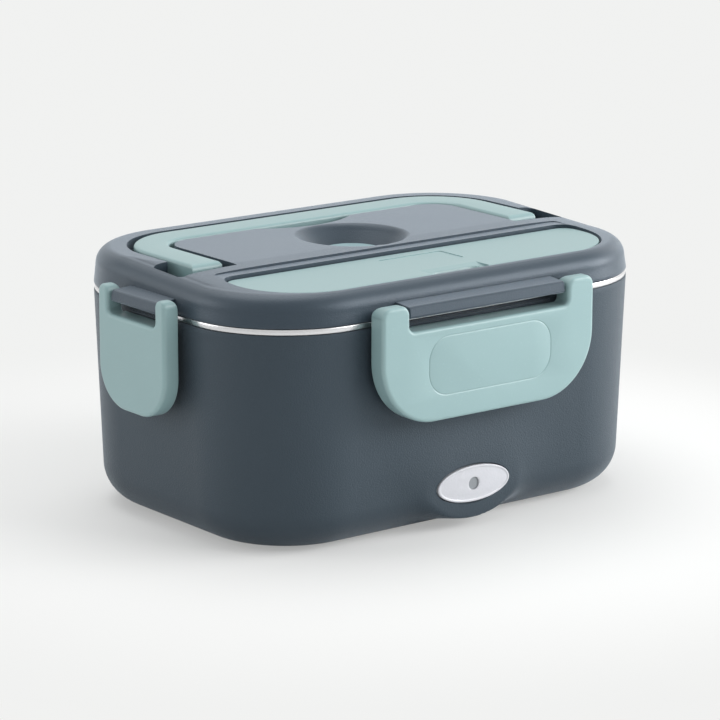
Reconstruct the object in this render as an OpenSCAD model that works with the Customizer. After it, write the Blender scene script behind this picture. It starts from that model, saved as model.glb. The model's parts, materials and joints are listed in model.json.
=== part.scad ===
// Electric lunch box: a heated steel container in an insulated body, under a lift-off
// lid with a carry handle, a cutlery pocket, a steam plug and four side latches.
// Millimetres, +Z up, -Y is the front with the lamp; the origin is on the table, at the
// middle of the body.

/* [Body] */
// Length over the body's top edge
body_len = 240; // [225:1:255]
// Width over the body's top edge
body_wid = 166.3; // [156:0.1:178]
// Height of the body's top edge above the table
body_h = 102.1; // [96:0.1:112]
// Radius of the plan corners
corner_r = 51.6; // [46:0.1:56]
// How far each wall leans in over its height
wall_lean = 3.8; // [2:0.1:5]
// Radius of the rounded bottom edge
bottom_r = 18.5; // [14:0.5:20]
// Wall of the outer shell
shell_wall = 2.4; // [2:0.1:3]
// Floor of the outer shell
shell_floor = 3.4; // [3:0.1:4]
// Height of the shell's floor above the table
stand = 1; // [0.6:0.1:1.4]

/* [Inner tub and container] */
// Gap between the shell's outside and the tub's outside
tub_inset = 7; // [6:0.1:8]
// Wall of the inner tub
tub_wall = 1.8; // [1.4:0.1:2.2]
// Height of the tub's floor, underside
tub_floor_z = 31.2; // [30:0.1:34]
// Radius of the tub's bottom edge
tub_bottom_r = 15; // [12:0.5:17]
// Sheet thickness of the steel container
steel_t = 0.8; // [0.6:0.1:1]
// Radius of the container's rolled rim
rim_bead_r = 1.1; // [1:0.05:1.2]
// How far the rolled rim stays inside the body's outline
rim_inset = 0.5; // [0.3:0.1:1]

/* [Lid] */
// Height of the lid's lower edge above the body's top edge
lid_gap = 3.2; // [3.1:0.1:3.7]
// Height of the lid, edge to platform
lid_h = 16.8; // [16.4:0.1:18]
// How much lower the lid's front is than its platform
lid_drop = 2.8; // [2.4:0.1:3.2]
// Radius of the lid's top edge
lid_edge_r = 8.1; // [6:0.1:9]
// How far the lid's wall leans in
lid_lean = 0.9; // [0.5:0.1:1.2]
// Wall of the lid
lid_wall = 2.4; // [2:0.1:2.6]
// Wall of the wells moulded into the lid
well_wall = 1.8; // [1.5:0.1:2]

/* [Handle] */
// Half the distance over the handle's arms
handle_half = 101.4; // [98:0.1:103]
// Width of the handle's bar
handle_w = 16.5; // [14:0.1:17]
// Thickness of the handle's bar
handle_t = 10; // [9:0.1:10.5]
// How far the handle stands above the platform
handle_proud = 0.5; // [0:0.1:1]
// Place of the handle's back face
handle_back = 65.2; // [62:0.1:66]
// Radius of the handle's outer corners
handle_r = 34; // [30:0.5:38]
// Place of the handle's pivot, front to back
pivot_y = -1.5; // [-3:0.1:0]
// Drop of the handle's pivot below the platform
pivot_drop = 8.7; // [8.4:0.1:9]
// Reach of the arms past the pivot
arm_end = 4.5; // [4:0.1:4.6]
// Radius of the handle's steel pivot pins
handle_pin_r = 1.75; // [1.5:0.05:2]

/* [Cutlery pocket] */
// Half the length of the pocket's cover
cover_half = 102; // [98:0.1:103]
// Front edge of the cover
cover_front = -73.6; // [-74:0.1:-72]
// Back edge of the cover
cover_back = -28.9; // [-31:0.1:-28.5]
// Thickness of the cover
cover_t = 2.2; // [2:0.1:2.4]
// Radius of the cover's front corners
cover_front_r = 34; // [30:0.5:36]
// Radius of the cover's back corners
cover_back_r = 8; // [6:0.5:9]
// Radius of the cover's hinge pins
cover_pin_r = 1; // [0.8:0.05:1.1]
// Distance of the hinge pins from the cover's back edge
cover_pin_in = 3.6; // [3.5:0.1:4.2]
// Height of the pocket's floor above the lid's edge
pocket_floor = 5.2; // [5:0.1:6]

/* [Steam plug] */
// Radius of the round bowl
bowl_r = 27.5; // [24:0.1:28]
// Radius of the bowl's floor
bowl_floor_r = 16.6; // [16:0.1:18]
// Depth of the bowl
bowl_depth = 10.1; // [9:0.1:10.4]
// Place of the bowl, front to back
bowl_y = 8.2; // [8:0.1:8.4]
// Radius of the plug's cap
plug_r = 14.5; // [13:0.1:15]
// Thickness of the plug's cap
plug_t = 1.9; // [1.6:0.1:2.2]
// Radius of the plug's stem
stem_r = 5; // [4:0.1:5.5]
// Travel of the plug
plug_lift = 3; // [2:0.1:3]

/* [Latches] */
// Half the width of the front and back latches
long_half = 61.5; // [56:0.1:64]
// Half the width of the side latches
short_half = 26.3; // [24:0.1:28]
// Width of a long latch's ears
long_ear = 13.5; // [12:0.1:15]
// Width of a side latch's ears
short_ear = 7.4; // [7:0.1:8]
// Radius of a long latch's lower corners
long_corner = 30; // [26:0.5:32]
// Radius of a side latch's lower corners
short_corner = 19; // [16:0.5:22]
// Depth of a latch, wall to face
latch_depth = 11.5; // [11:0.1:12]
// How far a latch hangs below the body's top edge
latch_hang = 44.8; // [42:0.1:48]
// How far a latch's ears stand above the body's top edge
latch_rise = 11.2; // [10.9:0.1:11.5]
// Wall of a latch
latch_wall = 2.4; // [2:0.1:2.8]
// Distance of the latch pins from the lid's wall
latch_pin_out = 5.85; // [5.8:0.05:6]
// Height of the latch pins above the lid's edge
latch_pin_up = 2.9; // [2.8:0.1:3.1]
// Radius of the latch pins
latch_pin_r = 1.25; // [1:0.05:1.3]

/* [Heater and lamp] */
// Length of the heating plate
plate_len = 110; // [100:1:120]
// Width of the heating plate
plate_wid = 70; // [60:1:76]
// Half the length of the oval lamp window
lens_half = 21; // [18:0.1:22]
// Half the height of the oval lamp window
lens_rise = 8.5; // [8:0.1:9.5]
// Height of the lamp window's middle
lamp_z = 21; // [20.8:0.1:22]
// Height of the power inlet's middle
inlet_z = 22.2; // [22:0.1:23]
// Radius of a rubber foot
foot_r = 7; // [6:0.1:8]

/* [Clearances] */
// Gap between pieces that lift apart
lift_gap = 0.3; // [0.2:0.05:0.4]
// Radial gap of a turning pin
pin_gap = 0.05; // [0.03:0.01:0.08]
// Gap round pieces that are fitted together
fit_gap = 0.4; // [0.3:0.05:0.5]

/* [Hidden] */
$fn = 72;
slate = "#5a646b";
mint = "#a3c4c4";
steel = "#c9ccd0";
over = 1;

// corner centres shared by every rounded-rectangle form
corner_x = body_len / 2 - corner_r;
corner_y = body_wid / 2 - corner_r;
lean_rate = wall_lean / body_h;
lean_angle = atan(lean_rate);

// heights that stack up from the body's top edge
tub_top = body_h + 0.2;
lid_z0 = body_h + lid_gap;
bead_z = tub_top + lift_gap + rim_bead_r;
rim_top = bead_z + rim_bead_r;
lid_top = lid_z0 + lid_h;
lid_front_top = lid_top - lid_drop;
liner_z = lid_z0 + 0.2;
liner_t = 1.7;
seal_z = rim_top + 0.2;
tub_floor_t = 1.8;
plate_z = tub_floor_z + tub_floor_t;
plate_t = 2;
container_z = plate_z + plate_t + lift_gap;
container_inset = tub_inset + tub_wall + 0.7;
boss_bottom_z = tub_floor_z - 1.7;
heater_t = 4.5;
clamp_t = 1.6;
clamp_z = boss_bottom_z - heater_t - clamp_t;

// body's underside
opening_half = [86, 49];
opening_r = 14;
recess_lip = 4;
cover_plate_z = stand + 0.1;
cover_plate_t = 1.7;
post_at = [60, 36];
post_r = 4.5;
post_z = cover_plate_z + cover_plate_t + 2;
foot_at = [73, 37];
foot_top = 2.5;
screw_r = 1.5;
screw_head_r = 3.2;

// lid details
pivot_z = lid_top - pivot_drop;
handle_top = lid_top + handle_proud;
handle_low = handle_top - handle_t;
groove_gap = 2.7;
groove_half = handle_half + groove_gap;
groove_back = handle_back + 3.4;
groove_z = handle_low - 0.6;
slot_half = groove_half + 9;
slot_front = pivot_y - 11.9;
slot_back = pivot_y + 11.5;
slot_z = pivot_z - arm_end - 0.5;
platform_half = handle_half - handle_w - 2.9;
platform_back = handle_back - handle_w - 2.7;
platform_r = 14;
scoop_half = 28;
scoop_depth = 9.5;
scoop_r = (scoop_half * scoop_half + scoop_depth * scoop_depth) / (2 * scoop_depth);
boss_r = 3.2;
pocket_z = lid_z0 + pocket_floor;
cover_top = lid_front_top - 0.1;
cover_z = cover_top - cover_t;
cover_gap = 0.8;
pocket_back = cover_back + 1;
hinge_y = cover_back - cover_pin_in;
hinge_z = cover_z - 0.1;
barrel_r = 2.1;
barrel_len = 14;
bowl_z = lid_top - bowl_depth;
peg_at = [[60, 32], [-60, 32], [60, -6], [-60, -6]];
peg_r = 2.5;

// latches: u is the distance out from the lid's wall
latch_u0 = 0.45;
latch_pin_z = lid_z0 + latch_pin_up;
ear_turn_r = latch_pin_out - 0.4;
latch_low = body_h - latch_hang;
latch_top = body_h + latch_rise;
slot_low = body_h - 1.9;
hook_u = 1.5;
ledge_u = hook_u - fit_gap;
ledge_z = slot_low + lift_gap;
ledge_t = 1.4;
bar_u = 9;
bar_z0 = lid_z0 + 0.6;
bar_z1 = lid_z0 + 6.1;
bar_gap = 1;
pin_depth = 5;

// ---- shared forms ----

// Solid with rounded plan corners: the child is the half profile, r out from the
// corner's centre and z up; it is turned at the corners and run along the sides.
module rounded_body(z0, z1) {
    for (q = [0:3]) {
        sx = (q == 0 || q == 3) ? 1 : -1;
        sy = (q < 2) ? 1 : -1;
        translate([sx * corner_x, sy * corner_y, 0])
            rotate([0, 0, 90 * q])
                rotate_extrude(angle = 90) children();
    }
    for (m = [0, 1]) {
        mirror([0, m, 0]) translate([-corner_x, corner_y, 0])
            rotate([90, 0, 90]) linear_extrude(2 * corner_x) children();
        mirror([m, 0, 0]) translate([corner_x, corner_y, 0])
            rotate([90, 0, 0]) linear_extrude(2 * corner_y) children();
    }
    translate([-corner_x, -corner_y, z0])
        cube([2 * corner_x, 2 * corner_y, z1 - z0]);
}

// Upright slab of the rounded plan, at radius r
module rounded_slab(r, z0, z1) {
    rounded_body(z0, z1) translate([0, z0]) square([r, z1 - z0]);
}

// Leaning wall line: radius at height z of a wall that has radius r at the top edge
function wall_at(r, z) = r - lean_rate * (body_h - z);

// Half profile of a tub: leaning wall and rounded bottom edge
module tub_profile(r, z0, z1, edge_r) {
    zc = z0 + edge_r;
    rc = wall_at(r, zc) - edge_r / cos(lean_angle);
    polygon([[0, z0], [rc, z0], [rc, zc],
        [rc + edge_r * cos(lean_angle), zc - edge_r * sin(lean_angle)],
        [wall_at(r, z1), z1], [0, z1]]);
    translate([rc, zc]) circle(edge_r);
}

module tub(r, z0, z1, edge_r) {
    rounded_body(z0, z1) tub_profile(r, z0, z1, edge_r);
}

// Flat outline, mirrored in x: half width, front and back edges, their corner radii
module panel(half, front, back, front_r, back_r) {
    mid = (front + back) / 2;
    translate([-half, front + front_r])
        square([2 * half, back - front - front_r - back_r]);
    translate([-(half - front_r), front])
        square([2 * (half - front_r), mid - front]);
    translate([-(half - back_r), mid])
        square([2 * (half - back_r), back - mid]);
    for (s = [0, 1]) mirror([s, 0]) {
        translate([half - front_r, front + front_r])
            quarter(front_r, -front_r);
        translate([half - back_r, back - back_r]) quarter(back_r, 0);
    }
}

// Quarter of a disc on the +X side: below the axis where low is -r, above where it is 0
module quarter(r, low) {
    intersection() {
        circle(r);
        translate([0, low]) square(r);
    }
}

// Oval outline, with no corner on either axis
module oval(a, b) {
    polygon([for (t = [3:10:353]) [a * cos(t), b * sin(t)]]);
}

// Turns a flat outline to stand in the X-Z plane, from y0 to y1
module upright(y0, y1) {
    translate([0, y1, 0]) rotate([90, 0, 0]) linear_extrude(y1 - y0) children();
}

// Rod along X between two places
module rod_x(x0, x1, y, z, r) {
    translate([x0, y, z]) rotate([0, 90, 0]) cylinder(h = x1 - x0, r = r);
}

module at_corners(at) {
    for (sx = [-1, 1], sy = [-1, 1]) translate([sx * at[0], sy * at[1], 0]) children();
}

// Insulated wire through a list of points
module wire(points, r) {
    for (i = [0:len(points) - 2]) {
        d = points[i + 1] - points[i];
        run = norm(d);
        translate(points[i])
            rotate([0, acos(d[2] / run), atan2(d[1], d[0])])
                cylinder(h = run, r = r, $fn = 24);
    }
    for (i = [1:1:len(points) - 2]) translate(points[i]) sphere(r + 0.06, $fn = 24);
}

// The four sides that carry a latch: the child stands at the front side
module on_front() { translate([0, -body_wid / 2, 0]) children(); }
module on_back() { rotate([0, 0, 180]) translate([0, -body_wid / 2, 0]) children(); }
module on_left() { rotate([0, 0, -90]) translate([0, -body_len / 2, 0]) children(); }
module on_right() { rotate([0, 0, 90]) translate([0, -body_len / 2, 0]) children(); }

// ---- body ----

// Oval boss that runs on down over the rounded edge; its face stands at foot on the
// table and at head on its upper end
module boss(mid_z, foot, head) {
    z1 = mid_z + 20;
    intersection() {
        translate([-lens_half - 6, 0, 0]) rotate([90, 0, 90])
            linear_extrude(2 * lens_half + 12)
                polygon([[-foot, 0], [-head, z1], [-body_wid / 2 + 30, z1],
                    [-body_wid / 2 + 30, 0]]);
        translate([0, 0, mid_z]) upright(-body_wid, -body_wid / 2 + 29)
            oval(lens_half + 5, lens_rise + 8);
    }
}

// The lamp's boss is upright and flush with the body's top edge
module lamp_boss() { boss(lamp_z, lamp_boss_y, lamp_boss_y); }

// The inlet's boss follows the leaning wall
module inlet_boss() {
    proud = 0.05;
    rotate([0, 0, 180]) boss(inlet_z, wall_at(body_wid / 2, 0) + proud,
        wall_at(body_wid / 2, inlet_z + 20) + proud);
}

// Flat-backed thickening inside the wall, behind the inlet
module inlet_pad() {
    rotate([0, 0, 180]) translate([0, 0, inlet_z]) upright(-body_wid, -socket_face + 4.6)
        oval(lens_half + 2, lens_rise + 2);
}

module ledge(half) {
    translate([-half, 0, 0]) rotate([90, 0, 90]) linear_extrude(2 * half)
        polygon([[over, ledge_z], [-ledge_u + 0.5, ledge_z], [-ledge_u, ledge_z + 0.5],
            [-ledge_u, ledge_z + ledge_t - 0.4], [over, ledge_z + ledge_t]]);
}

module lens_cut(grow, back_y) {
    translate([0, 0, lamp_z]) upright(-body_wid, back_y)
        oval(lens_half + grow, lens_rise + grow);
}

socket_size = [25, 14];
module socket_outline(grow) {
    panel(socket_size[0] / 2 + grow, -socket_size[1] / 2 - grow,
        socket_size[1] / 2 + grow, 6.5, 6.5);
}

module outer_shell() {
    color(slate) difference() {
        union() {
            tub(corner_r, stand, body_h, bottom_r);
            lamp_boss();
            inlet_boss();
            on_front() ledge(long_half - long_ear - 4);
            on_back() ledge(long_half - long_ear - 4);
            on_left() ledge(short_half - short_ear - 2);
            on_right() ledge(short_half - short_ear - 2);
        }
        difference() {
            tub(corner_r - shell_wall, stand + shell_floor, body_h + over,
                bottom_r - shell_wall);
            inlet_pad();
        }
        rounded_slab(corner_r - shell_wall / 2, tub_top - 2.4, body_h + over);
        translate([0, 0, stand - over]) linear_extrude(shell_floor + 2 * over)
            panel(opening_half[0], -opening_half[1], opening_half[1],
                opening_r, opening_r);
        translate([0, 0, stand - over]) linear_extrude(over + 1.9)
            panel(opening_half[0] + recess_lip, -opening_half[1] - recess_lip,
                opening_half[1] + recess_lip, opening_r + recess_lip,
                opening_r + recess_lip);
        lens_cut(0.2, lens_seat);
        lens_cut(-1.5, lens_seat + 8);
        rotate([0, 0, 180]) translate([0, 0, inlet_z])
            upright(-body_wid, -socket_face + 12) socket_outline(0.2);
    }
}

module inner_tub() {
    color("#4a5258") difference() {
        union() {
            tub(corner_r - tub_inset, tub_floor_z, tub_top, tub_bottom_r);
            rounded_slab(corner_r - shell_wall / 2 - 0.1, tub_top - 2.4, tub_top);
            at_corners(post_at) translate([0, 0, post_z])
                cylinder(h = tub_floor_z + 1 - post_z, r = post_r);
        }
        tub(corner_r - tub_inset - tub_wall, tub_floor_z + tub_floor_t,
            body_h + over, tub_bottom_r - tub_wall);
        translate([0, 0, tub_floor_z - over]) linear_extrude(tub_floor_t + 2 * over)
            panel(plate_len / 2 - 5.6, -plate_wid / 2 + 5.6, plate_wid / 2 - 5.6, 9, 9);
        at_corners(post_at) translate([0, 0, post_z - over])
            cylinder(h = 14, r = screw_r + pin_gap);
    }
}

module base_cover() {
    color("#50595f") difference() {
        union() {
            translate([0, 0, cover_plate_z]) linear_extrude(cover_plate_t)
                panel(opening_half[0] + recess_lip - fit_gap,
                    -opening_half[1] - recess_lip + fit_gap,
                    opening_half[1] + recess_lip - fit_gap, opening_r + recess_lip,
                    opening_r + recess_lip);
            at_corners(post_at) translate([0, 0, cover_plate_z])
                cylinder(h = post_z - cover_plate_z, r = screw_head_r + 2);
            at_corners(foot_at) translate([0, 0, cover_plate_z])
                cylinder(h = foot_top + 1.5 - cover_plate_z, r = foot_r + 2);
            for (x = [-30, 0, 30]) translate([x - 0.8, -opening_half[1] + 4, cover_plate_z])
                cube([1.6, 2 * opening_half[1] - 8, cover_plate_t + 3]);
        }
        at_corners(post_at) {
            cylinder(h = 10, r = screw_r + 0.25);
            cylinder(h = cover_plate_z + 2.2, r = screw_head_r + 0.3);
        }
        at_corners(foot_at) cylinder(h = foot_top, r = foot_r + 0.15);
    }
}

module feet() {
    color("#2b2e30") at_corners(foot_at) {
        translate([0, 0, 0.6]) cylinder(h = foot_top - 0.6, r = foot_r);
        cylinder(h = 0.6, r1 = foot_r - 0.6, r2 = foot_r);
    }
}

module base_screws() {
    head_z = cover_plate_z + 0.4;
    color(steel) at_corners(post_at) difference() {
        union() {
            translate([0, 0, head_z]) cylinder(h = 1.8, r = screw_head_r);
            translate([0, 0, head_z + 1.8]) cylinder(h = 12, r = screw_r);
        }
        for (a = [0, 90]) rotate([0, 0, a])
            translate([-2, -0.4, head_z - over]) cube([4, 0.8, over + 1]);
    }
}

// ---- heater and lamp ----

heater_x = [-26, 6];
heater_size = [28, 24];
thermostat_x = 38;
clamp_span = [-47, 27];
clamp_screw_x = [-44, 24];

module heating_plate() {
    color("#b9bdc1") difference() {
        union() {
            translate([0, 0, plate_z]) linear_extrude(plate_t)
                panel(plate_len / 2, -plate_wid / 2, plate_wid / 2, 12, 12);
            translate([0, 0, boss_bottom_z]) linear_extrude(plate_z - boss_bottom_z)
                panel(plate_len / 2 - 6, -plate_wid / 2 + 6, plate_wid / 2 - 6, 9, 9);
        }
        for (x = clamp_screw_x) translate([x, 0, boss_bottom_z - over])
            cylinder(h = over + 4, r = screw_r + pin_gap);
    }
}

module heaters() {
    color("#d9d4c6") for (x = heater_x)
        translate([x - heater_size[0] / 2, -heater_size[1] / 2, boss_bottom_z - heater_t])
            cube([heater_size[0], heater_size[1], heater_t]);
}

module heater_clamp() {
    color("#9da2a6") difference() {
        union() {
            translate([clamp_span[0], -8, clamp_z])
                cube([clamp_span[1] - clamp_span[0], 16, clamp_t]);
            for (x = clamp_screw_x) translate([x, 0, clamp_z])
                cylinder(h = clamp_t + heater_t, r = 2.8);
        }
        for (x = clamp_screw_x) translate([x, 0, clamp_z - over])
            cylinder(h = 12, r = screw_r + 0.1);
    }
}

module clamp_screws() {
    color(steel) for (x = clamp_screw_x) {
        translate([x, 0, clamp_z]) cylinder(h = clamp_t + heater_t + 3.5, r = screw_r);
        translate([x, 0, clamp_z - 1.6]) cylinder(h = 1.6, r = 2.8);
    }
}

module thermostat() {
    color("#3a3d40") translate([thermostat_x, 0, boss_bottom_z - 8]) {
        translate([0, 0, 6.6]) cylinder(h = 1.4, r = 9.5);
        cylinder(h = 6.6, r = 7.6);
        for (s = [-1, 1]) translate([-2.4, s * 4 - 0.4, -6]) cube([4.8, 0.8, 6]);
    }
}

module thermal_fuse() {
    color("#c8a86a") {
        rod_x(-16, -4, 5, clamp_z - 2.05, 2);
        rod_x(-24, -16, 5, clamp_z - 2.05, 0.5);
        rod_x(-4, 4, 5, clamp_z - 2.05, 0.5);
    }
}

// lamp window stands 0.7 mm proud of its boss
lamp_boss_y = body_wid / 2;
lens_face = -lamp_boss_y - 0.7;
lens_seat = lens_face + 2.6;
board_y = lens_seat + 6;

module lamp_lens() {
    color("#e9ebee") difference() {
        union() {
            translate([0, 0, lamp_z]) upright(lens_face + 0.6, lens_seat)
                oval(lens_half, lens_rise);
            translate([0, 0, lamp_z]) upright(lens_face, lens_face + 0.6)
                oval(lens_half - 0.8, lens_rise - 0.8);
            translate([0, 0, lamp_z]) upright(lens_seat, lens_seat + 4.4)
                difference() {
                    oval(lens_half - 1.8, lens_rise - 1.8);
                    oval(lens_half - 3.2, lens_rise - 3.2);
                }
        }
        translate([0, lens_face - over, lamp_z]) rotate([-90, 0, 0])
            cylinder(h = 6, r = 3);
    }
}

module led() {
    color("#8f9598") translate([0, 0, lamp_z]) rotate([-90, 0, 0]) {
        translate([0, 0, lens_face + 0.9]) cylinder(h = board_y - lens_face - 2.1, r = 2.9);
        translate([0, 0, board_y - 1.2]) cylinder(h = 1.2, r = 3.3);
    }
}

module led_board() {
    color("#2f6b45") {
        translate([-15, board_y, lamp_z - 6.5]) cube([30, 1.6, 13]);
        for (x = [-9, 9]) translate([x - 2, board_y + 1.6, lamp_z - 1]) cube([4, 1.2, 2]);
    }
}

socket_face = wall_at(body_wid / 2, inlet_z) - 0.6;

pin_x = [-4.3, 4.3];
pin_back = socket_face - 22;
lead_gap = 0.6;

module power_socket() {
    color("#26292b") difference() {
        union() {
            translate([0, 0, inlet_z]) upright(socket_face - 16, socket_face)
                socket_outline(0);
            translate([-17, socket_face - 6.4, inlet_z - 10]) cube([34, 1.8, 20]);
        }
        translate([0, 0, inlet_z]) upright(socket_face - 12.5, socket_face + over)
            socket_outline(-1.6);
        for (x = pin_x) translate([x, socket_face - 17, inlet_z])
            rotate([-90, 0, 0]) cylinder(h = 6, r = 1.25);
    }
}

module socket_pins() {
    color("#c9b26a") for (x = pin_x) translate([x, 0, inlet_z]) rotate([-90, 0, 0]) {
        translate([0, 0, pin_back]) cylinder(h = socket_face - 3 - pin_back, r = 1.2);
        translate([0, 0, socket_face - 3]) cylinder(h = 0.8, r1 = 1.2, r2 = 0.6);
    }
}

module heater_leads() {
    color("#b0463c") {
        wire([[pin_x[0], pin_back - lead_gap, inlet_z],
            [heater_x[0], heater_size[1] / 2 + lead_gap, boss_bottom_z - heater_t / 2]], 0.9);
        wire([[pin_x[1], pin_back - lead_gap, inlet_z],
            [thermostat_x, 4.4 + lead_gap, boss_bottom_z - 11]], 0.9);
    }
}

module lamp_leads() {
    color("#3c3c40") for (x = [-9, 9])
        wire([[x, board_y + 2.8 + lead_gap, lamp_z], [x, board_y + 12, lamp_z - 6],
            [x, -24, 14], [x - 4, -14, boss_bottom_z - heater_t / 2],
            [x - 4, -12, boss_bottom_z - heater_t / 2]], 0.7);
}

// ---- container ----

module steel_container() {
    wall_r = corner_r - container_inset;
    rim_r = corner_r - rim_inset;
    color(steel) difference() {
        union() {
            tub(wall_r, container_z, rim_top, tub_bottom_r - 2);
            rounded_body(bead_z, rim_top) translate([0, bead_z])
                square([rim_r - rim_bead_r, rim_bead_r]);
            rounded_body(bead_z, bead_z + 0.1) union() {
                translate([rim_r - rim_bead_r, bead_z]) circle(rim_bead_r);
                translate([0, bead_z]) square([rim_r - rim_bead_r, 0.1]);
            }
        }
        tub(wall_r - steel_t, container_z + steel_t, rim_top + over,
            tub_bottom_r - 2 - steel_t);
        difference() {
            rounded_slab(rim_r - 2 * rim_bead_r, bead_z - over, rim_top - steel_t);
            rounded_slab(wall_r + 0.1, bead_z - 2 * over, rim_top);
        }
    }
}

// ---- lid ----

// Lid form, offset inwards: the platform is level and the front slopes down to its edge
module lid_form(inward) {
    edge = lid_edge_r - inward;
    r = corner_r - inward;
    z0 = lid_z0 - (inward > 0 ? over : 0);
    hull() for (sx = [-1, 1], sy = [-1, 1]) {
        top = (sy < 0 ? lid_front_top : lid_top) - inward;
        translate([sx * corner_x, sy * corner_y, 0]) rotate_extrude($fn = 48)
            polygon(concat([[0, z0], [r, z0]],
                [for (a = [0:15:90]) [r - lid_lean - edge + edge * cos(a),
                    top - edge + edge * sin(a)]],
                [[0, top]]));
    }
}

module groove_outline(grow) {
    panel(groove_half + grow, slot_front - grow, groove_back + grow, 3 + grow,
        handle_r + 2.5 + grow);
}

module platform_outline(shrink) {
    panel(platform_half - shrink, slot_front - 20, platform_back - shrink, 2,
        platform_r - shrink);
}

module scoop_outline(grow) {
    intersection() {
        translate([0, platform_back - scoop_depth + scoop_r]) circle(scoop_r + grow);
        translate([-scoop_half - 5, platform_back - scoop_depth - 5])
            square([2 * scoop_half + 10, scoop_depth + 12]);
    }
}

module slots(grow, wide) {
    mid = (platform_half + slot_half) / 2;
    for (s = [-1, 1]) translate([s * mid, 0])
        panel((slot_half - platform_half) / 2 + wide, slot_front - grow,
            slot_back + grow, 3 + grow, 3 + grow);
}

// Wells that hang below the lid's skin
module lid_wells() {
    skin_z = lid_top - 2;
    translate([0, 0, groove_z - well_wall]) linear_extrude(skin_z - groove_z + well_wall)
        difference() {
            groove_outline(well_wall);
            difference() {
                platform_outline(well_wall);
                scoop_outline(well_wall);
            }
        }
    translate([0, 0, slot_z - 1]) linear_extrude(lid_top - 2.5 - slot_z + 1)
        slots(well_wall, well_wall);
    translate([0, 0, slot_z - 1]) linear_extrude(lid_top - 4.6 - slot_z + 1)
        slots(well_wall, 3.8);
    translate([0, bowl_y, 0]) rotate_extrude()
        polygon([[0, bowl_z - well_wall], [bowl_floor_r + 1.4, bowl_z - well_wall],
            [bowl_r + 1.6, skin_z], [0, skin_z]]);
    translate([0, 0, pocket_z - well_wall])
        linear_extrude(lid_front_top - 1.3 - pocket_z + well_wall)
            panel(cover_half + cover_gap + well_wall, cover_front - cover_gap - well_wall,
                pocket_back + well_wall, cover_front_r + 2, cover_back_r + 2);
    translate([0, 0, pocket_z - well_wall]) linear_extrude(lid_front_top - pocket_z + well_wall)
        translate([-cover_half - cover_gap - well_wall, cover_back - 20])
            square([2 * (cover_half + cover_gap + well_wall), 20 + 1 + well_wall]);
    for (p = peg_at) translate([p[0], p[1], liner_z + liner_t + 0.6])
        cylinder(h = skin_z - liner_z - liner_t - 0.6, r = peg_r + well_wall + 0.1);
}

module lid_hollows() {
    up = 20;
    translate([0, 0, groove_z]) linear_extrude(up) {
        difference() {
            groove_outline(0);
            platform_outline(0);
        }
        scoop_outline(0);
    }
    translate([0, 0, slot_z]) linear_extrude(up) slots(0, 0);
    translate([0, bowl_y, 0]) rotate_extrude()
        polygon([[0, bowl_z], [bowl_floor_r, bowl_z], [bowl_r, lid_top + 0.1],
            [bowl_r, lid_top + up], [0, lid_top + up]]);
    for (s = [-1, 1]) translate([s * bowl_r, bowl_y, lid_top + 6.6]) sphere(9);
    translate([0, bowl_y, bowl_z - 3]) cylinder(h = 4, r = stem_r + 0.6);
    // seat of the cover, the pocket under it and the room where the cover's back turns
    translate([0, 0, cover_z - 0.2]) linear_extrude(up)
        panel(cover_half + cover_gap, cover_front - cover_gap, pocket_back,
            cover_front_r + cover_gap, cover_back_r + cover_gap);
    translate([0, 0, pocket_z]) linear_extrude(up)
        panel(cover_half - 2.5, cover_front + 2.5, pocket_back, cover_front_r - 2.5,
            cover_back_r);
    translate([-cover_half - cover_gap, hinge_y - 5, hinge_z - 5.2])
        cube([2 * (cover_half + cover_gap), 5 + pocket_back - hinge_y, up]);
    // step along the platform's front edge
    translate([-cover_half + 1, pocket_back - 1, lid_top - 1.5])
        cube([2 * cover_half - 2, 8.4, up]);
}

// Bar on the lid's wall that a latch hangs on
module hinge_bar(half) {
    translate([-half, 0, 0]) rotate([90, 0, 90]) linear_extrude(2 * half)
        polygon([[1.2, bar_z0], [-bar_u + 0.7, bar_z0], [-bar_u, bar_z0 + 0.7],
            [-bar_u, bar_z1 - 0.3], [-bar_u + 0.3, bar_z1], [1.2, bar_z1 + 0.6]]);
}

module latch_bore(half, grow) {
    rod_x(-half, half, -latch_pin_out, latch_pin_z, latch_pin_r + grow);
}

module lid_shell() {
    long_slot = long_half - long_ear;
    short_slot = short_half - short_ear;
    color(slate) difference() {
        union() {
            difference() {
                lid_form(0);
                lid_form(lid_wall);
            }
            lid_wells();
            on_front() hinge_bar(long_slot - bar_gap);
            on_back() hinge_bar(long_slot - bar_gap);
            on_left() hinge_bar(short_slot - bar_gap);
            on_right() hinge_bar(short_slot - bar_gap);
        }
        lid_hollows();
        on_front() latch_bore(long_slot, 0.02);
        on_back() latch_bore(long_slot, 0.02);
        on_left() latch_bore(short_slot, 0.02);
        on_right() latch_bore(short_slot, 0.02);
        for (s = [-1, 1]) mirror([s < 0 ? 1 : 0, 0, 0]) {
            rod_x(slot_half - over, slot_half + 3, pivot_y, pivot_z, handle_pin_r + 0.02);
            rod_x(cover_half, cover_half + cover_gap + well_wall + over, hinge_y, hinge_z,
                cover_pin_r + 0.02);
        }
        for (p = peg_at) translate([p[0], p[1], liner_z])
            cylinder(h = 8, r = peg_r + 0.1);
    }
}

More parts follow.
